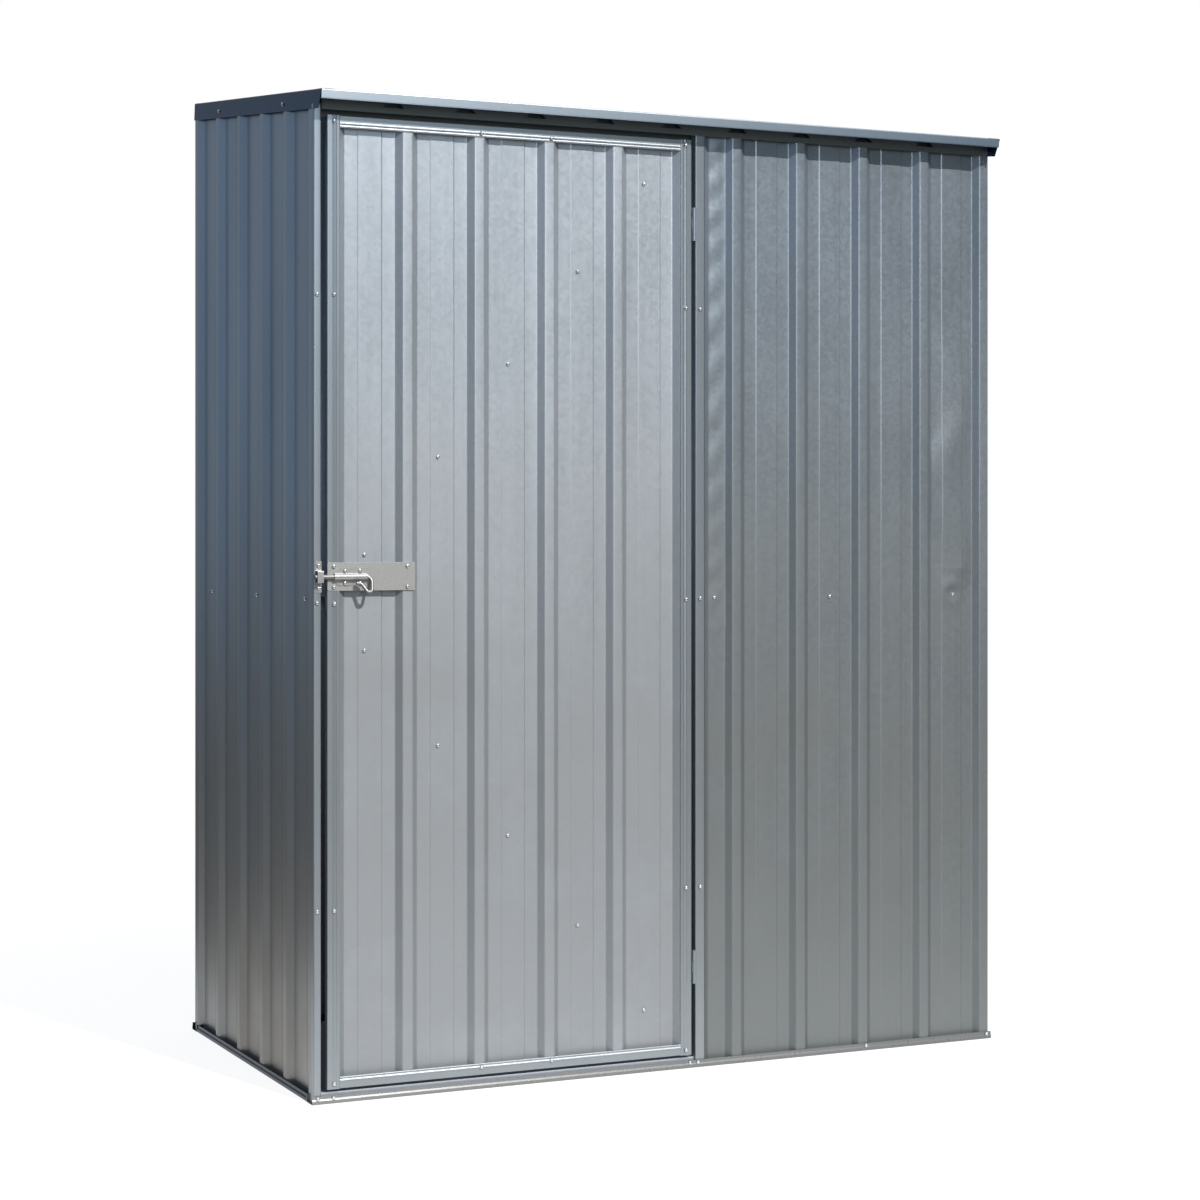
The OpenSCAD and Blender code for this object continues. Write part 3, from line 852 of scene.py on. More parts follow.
@dataclass
class Walls:
    """Ribbed walls of the shed."""

    sizes: ShedSizes
    roll: RibRoll
    front_finish: bpy.types.Material
    side_finish: bpy.types.Material
    jamb_x1: float = 0.8296
    jamb_pan_end: float = 0.881
    jamb_seam_x: float = 0.840
    jamb_seam_step: float = 0.008
    jamb_seams: int = 5
    jamb_lean: float = 3.0 * MM
    ripple_pitch: float = 0.075
    ripple_bulge: float = 1.6 * MM
    ripple_from: float = 0.75
    ripple_fade: float = 0.5
    ripple_slant: float = 0.6
    ripple_drift: float = 2.2
    ripple_drift_rate: float = 7.0
    pan_bulge: float = 0.6 * MM
    pan_bulge_h: float = 1.9
    dent: Point = (1.424, 0.938)
    dent_pan: Point = (1.36, 1.472)
    dent_reach: float = 0.019
    dent_bulge: float = 1.3 * MM
    dent_lean: float = 0.5
    dent_turn: float = 0.02
    dent_grid: Point = (0.006, 0.005)
    dent_columns: int = 9
    dent_rows: int = 12
    wave_pitch: float = 0.333
    wave_from: float = 0.997
    wave_bulge: float = 4.0 * MM
    wave_swing: float = 0.85
    wave_foot: float = 0.008
    wave_foot_fade: float = 0.045
    wave_top: float = 1.50
    wave_top_fade: float = 0.13
    fine_row: float = 0.0125
    side_line: list[Point] = field(init=False)
    wide_line: list[Point] = field(init=False)
    front_line: list[Point] = field(init=False)

    def __post_init__(self) -> None:
        """Works out the outer lines of the walls."""
        s, roll = self.sizes, self.roll
        y0, last = s.inset + s.frame_t + s.seat, s.wall_y1 - roll.crest / 2
        side_ribs = roll.counted(last, last - y0 - roll.end_room)
        front_edge = max(roll.crest, side_ribs[0] - roll.pitch + roll.crest / 2 - y0)
        self.side_line = roll.line(y0, s.wall_y1 - s.sheet_t - s.seat, front_edge, roll.crest, side_ribs)
        wide_ribs = roll.centred(s.inset, s.wall_x1)
        self.wide_line = roll.line(s.inset, s.wall_x1, roll.crest, roll.crest, wide_ribs)
        x0, first = self.jamb_x1 + s.seat, s.wall_x1 - roll.crest / 2
        front_ribs = roll.counted(first, first - x0 - 2 * roll.flank - roll.crest)
        self.front_line = roll.line(x0, s.wall_x1, 0.0, roll.crest, front_ribs)

    @staticmethod
    def ramp(value: float, start: float, run: float) -> float:
        """Runs from 0 at the start to 1 after the run."""
        return min(1.0, max(0.0, (value - start) / run))

    def jamb_buckle(self, x: float, z: float) -> float:
        """Lean and slanting ripples of the pan beside the jamb.

        Args:
            x: Place along the sheet.
            z: Height on it.

        Returns:
            The height of the bulge in metres.
        """
        if x >= self.jamb_pan_end:
            return 0.0
        share = max(0.0, (x - self.jamb_x1) / (self.jamb_pan_end - self.jamb_x1))
        drift = self.ripple_drift * math.sin(self.ripple_drift_rate * z)
        turn = 2 * math.pi * (z / self.ripple_pitch - self.ripple_slant * share) + drift
        wave = 0.5 + 0.5 * math.sin(turn)
        ripple = self.ripple_bulge * wave * math.sin(math.pi * share)
        return self.ramp(z, self.ripple_from, self.ripple_fade) * (self.jamb_lean * share + ripple)

    def dent_buckle(self, x: float, z: float) -> float:
        """Bulge of the last pan, with the dimple round its rivet and the long wave above it.

        Args:
            x: Place along the sheet.
            z: Height on it.

        Returns:
            The height of the bulge in metres.
        """
        start, end = self.dent_pan
        if not start < x < end:
            return 0.0
        share = (x - start) / (end - start)
        across = math.sin(math.pi * share)
        above = z - self.dent[1]
        whole = self.pan_bulge * across * max(0.0, math.sin(math.pi * z / self.pan_bulge_h)) ** 2
        swing = math.exp(self.wave_swing * math.cos(2 * math.pi * (z - self.wave_from) / self.wave_pitch))
        fade = (self.ramp(above, self.wave_foot, self.wave_foot_fade)
                * (1.0 - self.ramp(z, self.wave_top - self.wave_top_fade, self.wave_top_fade)))
        wave = self.wave_bulge * fade * math.sin(math.pi * share ** swing)
        away = math.hypot(x - self.dent[0], above) / self.dent_reach
        ring = away ** 2 * math.exp(1.0 - away ** 2)
        lean = 1.0 + self.dent_lean * math.tanh(above / self.dent_turn)
        return whole + wave + self.dent_bulge * across * ring * lean

    def front_buckle(self, x: float, z: float) -> float:
        """How far the front sheet bulges, in metres, at a place along it and a height."""
        return self.jamb_buckle(x, z) + self.dent_buckle(x, z)

    def build(self) -> None:
        """Builds and dresses the four walls."""
        s = self.sizes
        foot = s.frame_t
        slope_cut = [(s.at(0.0, 0.0, s.roof_foot - s.seat), s.off_roof)]
        side_run = s.roof_z(s.base_d) - foot
        (dent_x, dent_z), (step_x, step_z) = self.dent, self.dent_grid
        seam_xs = [self.jamb_seam_x + self.jamb_seam_step * i for i in range(self.jamb_seams)]
        seam_xs += [dent_x + step_x * i for i in range(-self.dent_columns, self.dent_columns)]
        seams = [(s.at(x, 0.0, 0.0), X_AXIS) for x in seam_xs]
        rows = range(-self.dent_rows, self.dent_rows + 1)
        seams += [(s.at(0.0, 0.0, dent_z + step_z * i), Z_AXIS) for i in rows]
        sheets = [
            RibbedSheet("left_wall_sheet", Layout(s.at(s.inset, 0.0, foot), Y_AXIS, X_AXIS, Z_AXIS),
                        self.side_line, side_run, s.sheet_t, cuts=slope_cut),
            RibbedSheet("right_wall_sheet", Layout(s.at(s.wall_x1, 0.0, foot), Y_AXIS, -X_AXIS, Z_AXIS),
                        self.side_line, side_run, s.sheet_t, cuts=slope_cut),
            RibbedSheet("rear_wall_sheet", Layout(s.at(0.0, s.wall_y1, foot), X_AXIS, -Y_AXIS, Z_AXIS),
                        self.wide_line, s.roof_z(s.wall_y1 - s.skin - s.seat) - s.seat - foot, s.sheet_t),
            RibbedSheet("front_wall_sheet", Layout(s.at(0.0, s.inset, foot), X_AXIS, Y_AXIS, Z_AXIS),
                        self.front_line, s.front_h + s.header_lap - foot, s.sheet_t, row=self.fine_row,
                        seams=seams, buckle=self.front_buckle),
        ]
        for sheet, node in zip(sheets, ("left_wall", "right_wall", "rear_wall", "front_wall")):
            finish = self.front_finish if node == "front_wall" else self.side_finish
            dress(sheet.build(), finish, Body.SHED, Slot.SHEET, node)


@dataclass
class Roof:
    """Ribbed roof sheet with its fascia, flashings and rear trim."""

    sizes: ShedSizes
    roll: RibRoll
    sheet_finish: bpy.types.Material
    fascia_painted_reflection_finish: bpy.types.Material
    trim_painted_reflection_finish: bpy.types.Material
    fascia_h: float = 0.018
    fascia_lip: float = 0.007
    cap_flange: float = 0.025
    flashing_flange: float = 0.028
    flashing_cut: float = 0.014
    drip_h: float = 1.6 * MM
    drip_out: float = 0.5 * MM
    fascia_bend: float = 1.8 * MM
    rear_bend: float = 2.2 * MM
    flashing_bend: float = 2.0 * MM
    sheet_row: float = 0.2

    def build(self) -> None:
        """Builds and dresses the roof."""
        self._sheet()
        self._fascia()
        self._rear_trim()
        self._flashings()

    def _sheet(self) -> None:
        """Ribbed sheet, with its crests up."""
        s = self.sizes
        s0, s1 = s.roof_s0 + s.trim_t + s.seat, s.roof_s1 - s.seat
        line = self.roll.line(s.inset, s.wall_x1, self.roll.crest, self.roll.crest,
                              self.roll.centred(s.inset, s.wall_x1))
        layout = Layout(s.on_roof(0.0, s0, s.skin), X_AXIS, -s.off_roof, s.up_slope)
        sheet = RibbedSheet("roof_ribbed_sheet", layout, line, s1 - s0, s.sheet_t, row=self.sheet_row)
        dress(sheet.build(), self.sheet_finish, Body.SHED, Slot.SHEET, "roof_sheet")

    def _fascia(self) -> None:
        """Front trim: top flange, fascia and the fold under it."""
        s, half = self.sizes, self.sizes.trim_t / 2
        front, top = s.roof_s0 + half, s.trim_n - half
        low = s.trim_n - self.fascia_h + half
        section = [(s.roof_s0 + self.cap_flange, top), (front, top), (front, low),
                   (s.roof_s0 + self.fascia_lip, low)]
        layout = Layout(s.on_roof(0.0, 0.0, 0.0), s.up_slope, s.off_roof, X_AXIS)
        strip = FoldedStrip("roof_front_trim", layout, section, s.inset, s.wall_x1, s.trim_t,
                            bend=self.fascia_bend, segments=4)
        dress(strip.build(), self.fascia_painted_reflection_finish, Body.SHED, Slot.TRIM, "roof_front_fascia")

    def _rear_trim(self) -> None:
        """Rear trim: top flange and the leg behind the rear wall."""
        s, half = self.sizes, self.sizes.trim_t / 2
        back, top = s.roof_s1 + half, s.trim_n - half
        section = [(s.roof_s1 + s.trim_t - self.cap_flange, top), (back, top),
                   (back, s.trim_n - s.flashing_h)]
        layout = Layout(s.on_roof(0.0, 0.0, 0.0), s.up_slope, s.off_roof, X_AXIS)
        strip = FoldedStrip("roof_back_trim", layout, section, s.inset, s.wall_x1, s.trim_t,
                            bend=self.rear_bend)
        dress(strip.build(), self.trim_painted_reflection_finish, Body.SHED, Slot.TRIM, "roof_rear_trim")

    def _flashings(self) -> None:
        """Side flashings, cut back at their lower front corner."""
        s, half = self.sizes, self.sizes.trim_t / 2
        top, low = s.trim_n - half, s.trim_n - s.flashing_h
        face = s.inset - s.seat - half
        section = [(face + self.flashing_flange - half, top), (face, top), (face, low + self.drip_h),
                   (face - self.drip_out, low)]
        lean = s.up_slope * self.flashing_cut - s.off_roof * s.flashing_h
        sides = (("roof_left_flashing", 0.0, X_AXIS), ("roof_right_flashing", s.base_w, -X_AXIS))
        for name, edge, across in sides:
            layout = Layout(s.on_roof(edge, 0.0, 0.0), across, s.off_roof, s.up_slope)
            cut = (s.on_roof(edge, s.roof_s0, s.trim_n), lean.cross(X_AXIS))
            strip = FoldedStrip(f"{name}_strip", layout, section, s.roof_s0, s.roof_s1 + s.trim_t, s.trim_t,
                                bend=self.flashing_bend, cuts=[cut])
            dress(strip.build(), self.trim_painted_reflection_finish, Body.SHED, Slot.TRIM, name)


@dataclass
class BaseAndCorners:
    """Base channels, the front left strip, the hinge jamb and the header."""

    sizes: ShedSizes
    roll: RibRoll
    finish: bpy.types.Material
    base_finish: bpy.types.Material
    rail_painted_shade_finish: bpy.types.Material
    header_painted_shade_finish: bpy.types.Material
    channel_w: float = 0.035
    channel_h: float = 0.015
    step_z: float = 0.0065
    step_in: float = 0.0014
    step_run: float = 0.0032
    post_face: float = 0.014
    return_d: float = 0.020
    jamb_x0: float = 0.8086
    jamb_face: float = 0.021
    header_drop: float = 0.010
    notch_h: float = 0.011
    post_lap: float = 0.011
    channel_bend: float = 1.2 * MM
    post_bend: float = 2.4 * MM
    jamb_bend: float = 1.8 * MM
    header_bend: float = 1.0 * MM
    header_angle: float = 50.0

    def channel_section(self) -> list[Point]:
        """Middle line of a base channel: inner leg, foot and an outer leg with one step.

        Returns:
            The line, from the inner leg's top to the outer leg's.
        """
        half = self.sizes.frame_t / 2
        return [(self.channel_w - half, self.channel_h), (self.channel_w - half, half), (half, half),
                (half, self.step_z), (half + self.step_in, self.step_z + self.step_run),
                (half + self.step_in, self.channel_h)]

    def build(self) -> None:
        """Builds and dresses the channels, the strips and the header."""
        self._channels()
        self._post()
        self._header()
        self._jamb()

    def _channels(self) -> None:
        """Base channels: the front and rear ones run through, the sides fit between."""
        s = self.sizes
        side = (self.channel_w + s.seat, s.base_d - self.channel_w - s.seat)
        section = self.channel_section()
        runs = [
            ("front", Layout(s.at(0.0, 0.0, 0.0), Y_AXIS, Z_AXIS, X_AXIS), (0.0, s.base_w)),
            ("rear", Layout(s.at(0.0, s.base_d, 0.0), -Y_AXIS, Z_AXIS, X_AXIS), (0.0, s.base_w)),
            ("left", Layout(s.at(0.0, 0.0, 0.0), X_AXIS, Z_AXIS, Y_AXIS), side),
            ("right", Layout(s.at(s.base_w, 0.0, 0.0), -X_AXIS, Z_AXIS, Y_AXIS), side),
        ]
        for name, layout, (start, end) in runs:
            strip = FoldedStrip(f"base_rail_{name}", layout, section, start, end, s.frame_t,
                                bend=self.channel_bend)
            # The side and rear channels take the near-black finish, which is painted shade.
            finish = self.base_finish if name == "front" else self.rail_painted_shade_finish
            dress(strip.build(), finish, Body.SHED, Slot.FRAME, f"base_channel_{name}")

    def _upright(self, name: str, section: list[Point], bend: float, node: str) -> None:
        """Strip that stands in the front from the base to the header.

        Args:
            name: Name of the piece.
            section: Middle line of its folds.
            bend: Radius of the folds.
            node: CAD node that it replaces.
        """
        s = self.sizes
        layout = Layout(s.at(0.0, 0.0, 0.0), X_AXIS, Y_AXIS, Z_AXIS)
        strip = FoldedStrip(name, layout, section, s.frame_t, s.front_h + s.header_lap, s.frame_t, bend=bend)
        dress(strip.build(), self.finish, Body.SHED, Slot.FRAME, node)

    def _post(self) -> None:
        """Front left strip, lapped round the left wall's edge."""
        s, half = self.sizes, self.sizes.frame_t / 2
        face, inner = s.inset + half, s.inset + self.post_face - half
        lap = s.inset - half - s.seat
        section = [(lap, s.inset + self.post_lap), (lap, face), (inner, face),
                   (inner, s.inset + self.return_d)]
        self._upright("front_left_strip", section, self.post_bend, "front_left_post")

    def _jamb(self) -> None:
        """Hinge jamb, with both edges turned in."""
        s, half = self.sizes, self.sizes.frame_t / 2
        left, right = self.jamb_x0 + half, self.jamb_x0 + self.jamb_face - half
        face, back = s.inset + half, s.inset + self.return_d
        section = [(left, back), (left, face), (right, face), (right, back)]
        self._upright("hinge_jamb_strip", section, self.jamb_bend, "hinge_jamb")

    def _header(self) -> None:
        """Header over the doorway, open at its top where the roof's ribs pass over it."""
        s, half = self.sizes, self.sizes.frame_t / 2
        front, back = s.inset - s.seat - half, self.channel_w - half
        section = [(back, s.front_h - self.header_drop), (back, s.roof_z(back) - s.seat - half),
                   (front, s.roof_z(front) - s.seat - half), (front, s.front_h)]
        layout = Layout(s.at(0.0, 0.0, 0.0), Y_AXIS, Z_AXIS, X_AXIS)
        x0, x1 = s.inset + self.post_face + s.seat, s.wall_x1 - s.skin - s.seat
        piece = Bench.trace("front_header_strip", [layout.place(point, x0) for point in section])
        Bench.sweep(X_AXIS * (x1 - x0))
        Bench.soften(self.header_bend, self.header_angle)
        self._notch(piece, front)
        Bench.close()
        Bench.thicken(piece, s.frame_t)
        dress(piece, self.header_painted_shade_finish, Body.SHED, Slot.FRAME, "front_header")

    def _notch(self, piece: bpy.types.Object, front: float) -> None:
        """Cuts the header's front leg away under the roof's ribs.

        Args:
            piece: The header, in edit mode.
            front: Depth of its front leg.
        """
        s = self.sizes
        sill = s.roof_z(front) - self.notch_h
        wide = self.roll.crest / 2 + self.roll.flank
        lean = self.roll.flank / self.notch_h
        ribs = self.roll.centred(s.inset, s.wall_x1)
        Bench.cut(s.at(0.0, front, sill), Z_AXIS)
        for rib in ribs:
            for side in (-1.0, 1.0):
                Bench.cut(s.at(rib + side * wide, front, sill), Vector((side, 0.0, lean)))
        edge = s.at(0.0, front + s.frame_t / 2, sill)
        mesh = bmesh.from_edit_mesh(piece.data)
        bpy.ops.mesh.select_all(action="DESELECT")
        bpy.ops.mesh.select_mode(type="FACE")
        for face in mesh.faces:
            middle = face.calc_center_median()
            reach = min(abs(middle.x - s.at(rib, 0.0, 0.0).x) for rib in ribs)
            inside = reach < wide - (middle.z - edge.z) * lean
            face.select_set(inside and middle.z > edge.z and middle.y < edge.y)
        bmesh.update_edit_mesh(piece.data)
        bpy.ops.mesh.delete(type="FACE")
        bpy.ops.mesh.select_mode(type="VERT")


@dataclass
class Door:
    """Ribbed door panel in a frame of beaded channels."""

    sizes: ShedSizes
    roll: RibRoll
    sheet_finish: bpy.types.Material
    frame_finish: bpy.types.Material
    head_painted_light_finish: bpy.types.Material
    x0: float = 0.030
    x1: float = 0.799
    y0: float = 0.003
    z0: float = 0.026
    z1: float = 1.851
    stile_w: float = 0.025
    rail_w: float = 0.0225
    bead_from: float = 0.0105
    bead_w: float = 0.0055
    bead_rise: float = 0.0009
    hem_w: float = 0.0055
    rail_bead_from: float = 0.0123
    rail_hem_w: float = 0.0022
    bead_run: float = 2.1 * MM
    hem_turn: float = 1.2 * MM
    hem_end: float = 0.3 * MM
    channel_bend: float = 1.2 * MM
    panel_row: float = 0.05
    panel_y: float = field(init=False)
    line: list[Point] = field(init=False)
    depth: float = field(init=False)

    def __post_init__(self) -> None:
        """Works out the panel's place and outer line, and the channels' depth."""
        s = self.sizes
        gap = s.frame_t + s.seat
        edge = self.stile_w - gap
        self.panel_y = self.y0 + gap
        a, b = self.x0 + gap, self.x1 - gap
        self.line = self.roll.line(a, b, edge, edge, self.roll.centred(a, b))
        self.depth = 2 * gap + s.skin

    def channel_section(self, w: float, bead: float, hem: float) -> list[Point]:
        """Middle line of an edge channel: back leg, web and a front leg with a bead and a raised hem.

        Args:
            w: Width of the legs.
            bead: Where the bead starts, from the channel's outer edge.
            hem: Width of the raised hem along the front leg's free edge.

        Returns:
            The line, from the back leg's free edge to the front leg's.
        """
        half = self.sizes.frame_t / 2
        front, proud = half, half - self.bead_rise
        run, end = self.bead_run, bead + self.bead_w
        return [(w, self.depth - half), (half, self.depth - half), (half, front), (bead, front),
                (bead + run, proud), (end - run, proud), (end, front), (w - hem - run, front),
                (w - hem, proud), (w - self.hem_turn, proud), (w - self.hem_end, front)]

    def build(self) -> None:
        """Builds and dresses the panel, the stiles and the rails."""
        s = self.sizes
        gap = s.frame_t + s.seat
        foot = self.z0 + gap
        layout = Layout(s.at(0.0, self.panel_y, foot), X_AXIS, Y_AXIS, Z_AXIS)
        panel = RibbedSheet("door_ribbed_panel", layout, self.line, self.z1 - gap - foot, s.sheet_t,
                            row=self.panel_row)
        dress(panel.build(), self.sheet_finish, Body.DOOR, Slot.SHEET, "door_panel")
        upright = self.channel_section(self.stile_w, self.bead_from, self.hem_w)
        level = self.channel_section(self.rail_w, self.rail_bead_from, self.rail_hem_w)
        tall = (self.z0, self.z1)
        wide = (self.x0 + self.stile_w + s.seat, self.x1 - self.stile_w - s.seat)
        left, right = s.at(self.x0, self.y0, 0.0), s.at(self.x1, self.y0, 0.0)
        top, bottom = s.at(0.0, self.y0, self.z1), s.at(0.0, self.y0, self.z0)
        runs = [
            ("door_lock_stile", upright, Layout(left, X_AXIS, Y_AXIS, Z_AXIS), tall),
            ("door_hinge_stile", upright, Layout(right, -X_AXIS, Y_AXIS, Z_AXIS), tall),
            ("door_top_rail", level, Layout(top, -Z_AXIS, Y_AXIS, X_AXIS), wide),
            ("door_bottom_rail", level, Layout(bottom, Z_AXIS, Y_AXIS, X_AXIS), wide),
        ]
        for name, section, layout, (start, end) in runs:
            strip = FoldedStrip(f"{name}_beaded", layout, section, start, end, s.frame_t,
                                bend=self.channel_bend)
            # The top rail takes the lighter copy of the frame finish, which paints light onto it.
            finish = self.head_painted_light_finish if name == "door_top_rail" else self.frame_finish
            dress(strip.build(), finish, Body.DOOR, Slot.FRAME, name)


@dataclass
class Latch:
    """Pad bolt: plate, guide strap, rod with a bent wire pull, and the keeper on the left strip."""

    sizes: ShedSizes
    plate_finish: bpy.types.Material
    strap_finish: bpy.types.Material
    rod_finish: bpy.types.Material
    bolt_z: float = 0.986
    bolt_y: float = -0.00346
    plate_x0: float = 0.030
    plate_y: float = 0.0018
    plate_t: float = 0.0012
    plate_w: float = 0.176
    plate_h: float = 0.053
    guide_x0: float = 0.041
    guide_len: float = 0.066
    guide_h: float = 0.034
    guide_r: float = 0.0050
    rod_r: float = 0.004
    tip_x: float = 0.003
    rod_end: float = 0.105
    wire_r: float = 0.0033
    loop_tilt: float = 25.0
    pull_lap: float = 2.0 * MM
    pull_bends: tuple[Triple, ...] = (
        (0.0015, 98.0, 0.0105), (0.0145, 142.0, 0.0062), (0.013, -50.0, 0.006), (0.007, 0.0, 0.0))
    keeper_x0: float = 0.007
    keeper_w: float = 0.012
    keeper_h: float = 0.059
    bridge_h: float = 0.023
    bridge_y: float = -0.00946
    plate_corner: float = 2.5 * MM
    plate_edge: float = 0.3 * MM
    guide_bend: float = 0.8 * MM
    guide_cuts: tuple[float, ...] = (30.0, 50.0, 70.0)
    guide_facets: int = 14
    rod_chamfer: float = 1.2 * MM
    keeper_bend: float = 1.8 * MM
    facet_turn: float = 9.0
    round_angle: float = 40.0

    def build(self) -> None:
        """Builds and dresses the latch."""
        dress(self._plate(), self.plate_finish, Body.DOOR, Slot.LATCH, "latch_plate")
        dress(self._guide(), self.strap_finish, Body.DOOR, Slot.LATCH, "bolt_guide")
        dress(self._bolt(), self.rod_finish, Body.BOLT, Slot.LATCH, "latch_bolt")
        dress(self._keeper(), self.strap_finish, Body.SHED, Slot.LATCH, "bolt_keeper")

    def _plate(self) -> bpy.types.Object:
        """Flat plate with rounded corners and broken edges.

        Returns:
            The plate.
        """
        middle = self.sizes.at(
            self.plate_x0 + self.plate_w / 2, self.plate_y + self.plate_t / 2, self.bolt_z)
        Bench.clear()
        bpy.ops.mesh.primitive_cube_add(
            size=1.0, location=middle, scale=(self.plate_w, self.plate_t, self.plate_h))
        piece = Bench.named("latch_back_plate")
        bpy.ops.object.transform_apply(location=True, rotation=True, scale=True)
        Bench.edit()
        bpy.ops.mesh.select_mode(type="EDGE")
        mesh = bmesh.from_edit_mesh(piece.data)
        for edge in mesh.edges:
            along = edge.verts[0].co - edge.verts[1].co
            edge.select_set(abs(along.y) > along.length / 2)
        bmesh.update_edit_mesh(piece.data)
        bpy.ops.mesh.bevel(offset=self.plate_corner, segments=4, affect="EDGES")
        bpy.ops.mesh.select_all(action="DESELECT")
        bpy.ops.mesh.edges_select_sharp(sharpness=SHARP_EDGE)
        bpy.ops.mesh.bevel(offset=self.plate_edge, segments=2, affect="EDGES")
        Bench.close()
        Bench.smooth(piece)
        return piece

    def _guide(self) -> bpy.types.Object:
        """Pressed strap over the rod, with its left end cut round.

        Returns:
            The strap.
        """
        s, half = self.sizes, self.plate_t / 2
        foot = self.plate_y - half - s.seat / 2
        r, reach = self.guide_r + half, self.guide_h / 2
        turns = [math.pi * i / self.guide_facets for i in range(self.guide_facets + 1)]
        arc = [(self.bolt_y - r * math.sin(turn), self.bolt_z - r * math.cos(turn)) for turn in turns]
        section = ([(foot, self.bolt_z - reach), (foot, self.bolt_z - r)] + arc
                   + [(foot, self.bolt_z + r), (foot, self.bolt_z + reach)])
        layout = Layout(s.at(0.0, 0.0, 0.0), Y_AXIS, Z_AXIS, X_AXIS)
        centre = s.at(self.guide_x0 + reach, foot, self.bolt_z)
        cuts = []
        for side in (-1.0, 1.0):
            for turn in map(math.radians, self.guide_cuts):
                out = Vector((-math.cos(turn), 0.0, side * math.sin(turn)))
                cuts.append((centre + out * reach, out))
        end = self.guide_x0 + self.guide_len
        return FoldedStrip("bolt_guide_strap", layout, section, self.guide_x0, end, self.plate_t,
                           bend=self.guide_bend, cuts=cuts).build()

    def _bolt(self) -> bpy.types.Object:
        """Round rod with rounded ends, and the thinner wire bent to a hanging pull at its right end.

        Returns:
            The rod with its pull.
        """
        middle = self.sizes.at((self.tip_x + self.rod_end) / 2, self.bolt_y, self.bolt_z)
        Bench.clear()
        bpy.ops.mesh.primitive_cylinder_add(
            vertices=32, radius=self.rod_r, depth=self.rod_end - self.tip_x, location=middle,
            rotation=(0.0, math.pi / 2, 0.0))
        rod = Bench.named("latch_rod")
        bpy.ops.object.transform_apply(location=True, rotation=True, scale=True)
        Bench.edit()
        bpy.ops.mesh.select_all(action="DESELECT")
        bpy.ops.mesh.select_mode(type="EDGE")
        bpy.ops.mesh.edges_select_sharp(sharpness=SHARP_EDGE)
        bpy.ops.mesh.bevel(offset=self.rod_chamfer, segments=3, affect="EDGES")
        Bench.close()
        loop = self._pull()
        Bench.clear()
        loop.select_set(True)
        rod.select_set(True)
        bpy.context.view_layer.objects.active = rod
        bpy.ops.object.join()
        piece = Bench.named("latch_bolt_rod")
        Bench.smooth(piece, self.round_angle)
        return piece

    def _pull(self) -> bpy.types.Object:
        """Wire that leaves the rod, hangs down and out, and turns back up to a short tail.

        Returns:
            The wire, not yet joined to the rod.
        """
        tilt = math.radians(self.loop_tilt)
        down = Vector((0.0, -math.sin(tilt), -math.cos(tilt)))
        out = X_AXIS.cross(down)
        here = self.sizes.at(self.rod_end - self.pull_lap, self.bolt_y, self.bolt_z)
        Bench.clear()
        bpy.ops.mesh.primitive_circle_add(vertices=20, radius=self.wire_r, fill_type="NGON", location=here,
                                          rotation=(0.0, math.pi / 2, 0.0))
        loop = Bench.named("latch_pull")
        bpy.ops.object.transform_apply(location=True, rotation=True, scale=True)
        Bench.edit()
        heading = 0.0
        for length, turn, radius in self.pull_bends:
            way = math.cos(heading) * X_AXIS + math.sin(heading) * down
            bpy.ops.mesh.extrude_region_move(TRANSFORM_OT_translate={"value": way * length})
            here = here + way * length
            if turn:
                reach = math.copysign(radius, turn)
                centre = here + reach * (math.cos(heading) * down - math.sin(heading) * X_AXIS)
                facets = max(3, int(abs(turn) / self.facet_turn))
                bpy.ops.mesh.spin(steps=facets, angle=-math.radians(turn), center=centre, axis=out)
                heading += math.radians(turn)
                here = centre - reach * (math.cos(heading) * down - math.sin(heading) * X_AXIS)
        bpy.ops.mesh.select_mode(type="VERT")
        Bench.close()
        return loop

    def _keeper(self) -> bpy.types.Object:
        """Folded keeper: two ears and the bridge that the rod shoots under.

        Returns:
            The keeper.
        """
        s, half = self.sizes, self.plate_t / 2
        ear, front = s.inset - half - s.seat / 2, self.bridge_y + half
        top, high = self.bridge_h / 2 - half, self.keeper_h / 2
        section = [(ear, -high), (ear, -top), (front, -top), (front, top), (ear, top), (ear, high)]
        layout = Layout(s.at(0.0, 0.0, self.bolt_z), Y_AXIS, Z_AXIS, X_AXIS)
        end = self.keeper_x0 + self.keeper_w
        return FoldedStrip("bolt_keeper_strap", layout, section, self.keeper_x0, end, self.plate_t,
                           bend=self.keeper_bend).build()


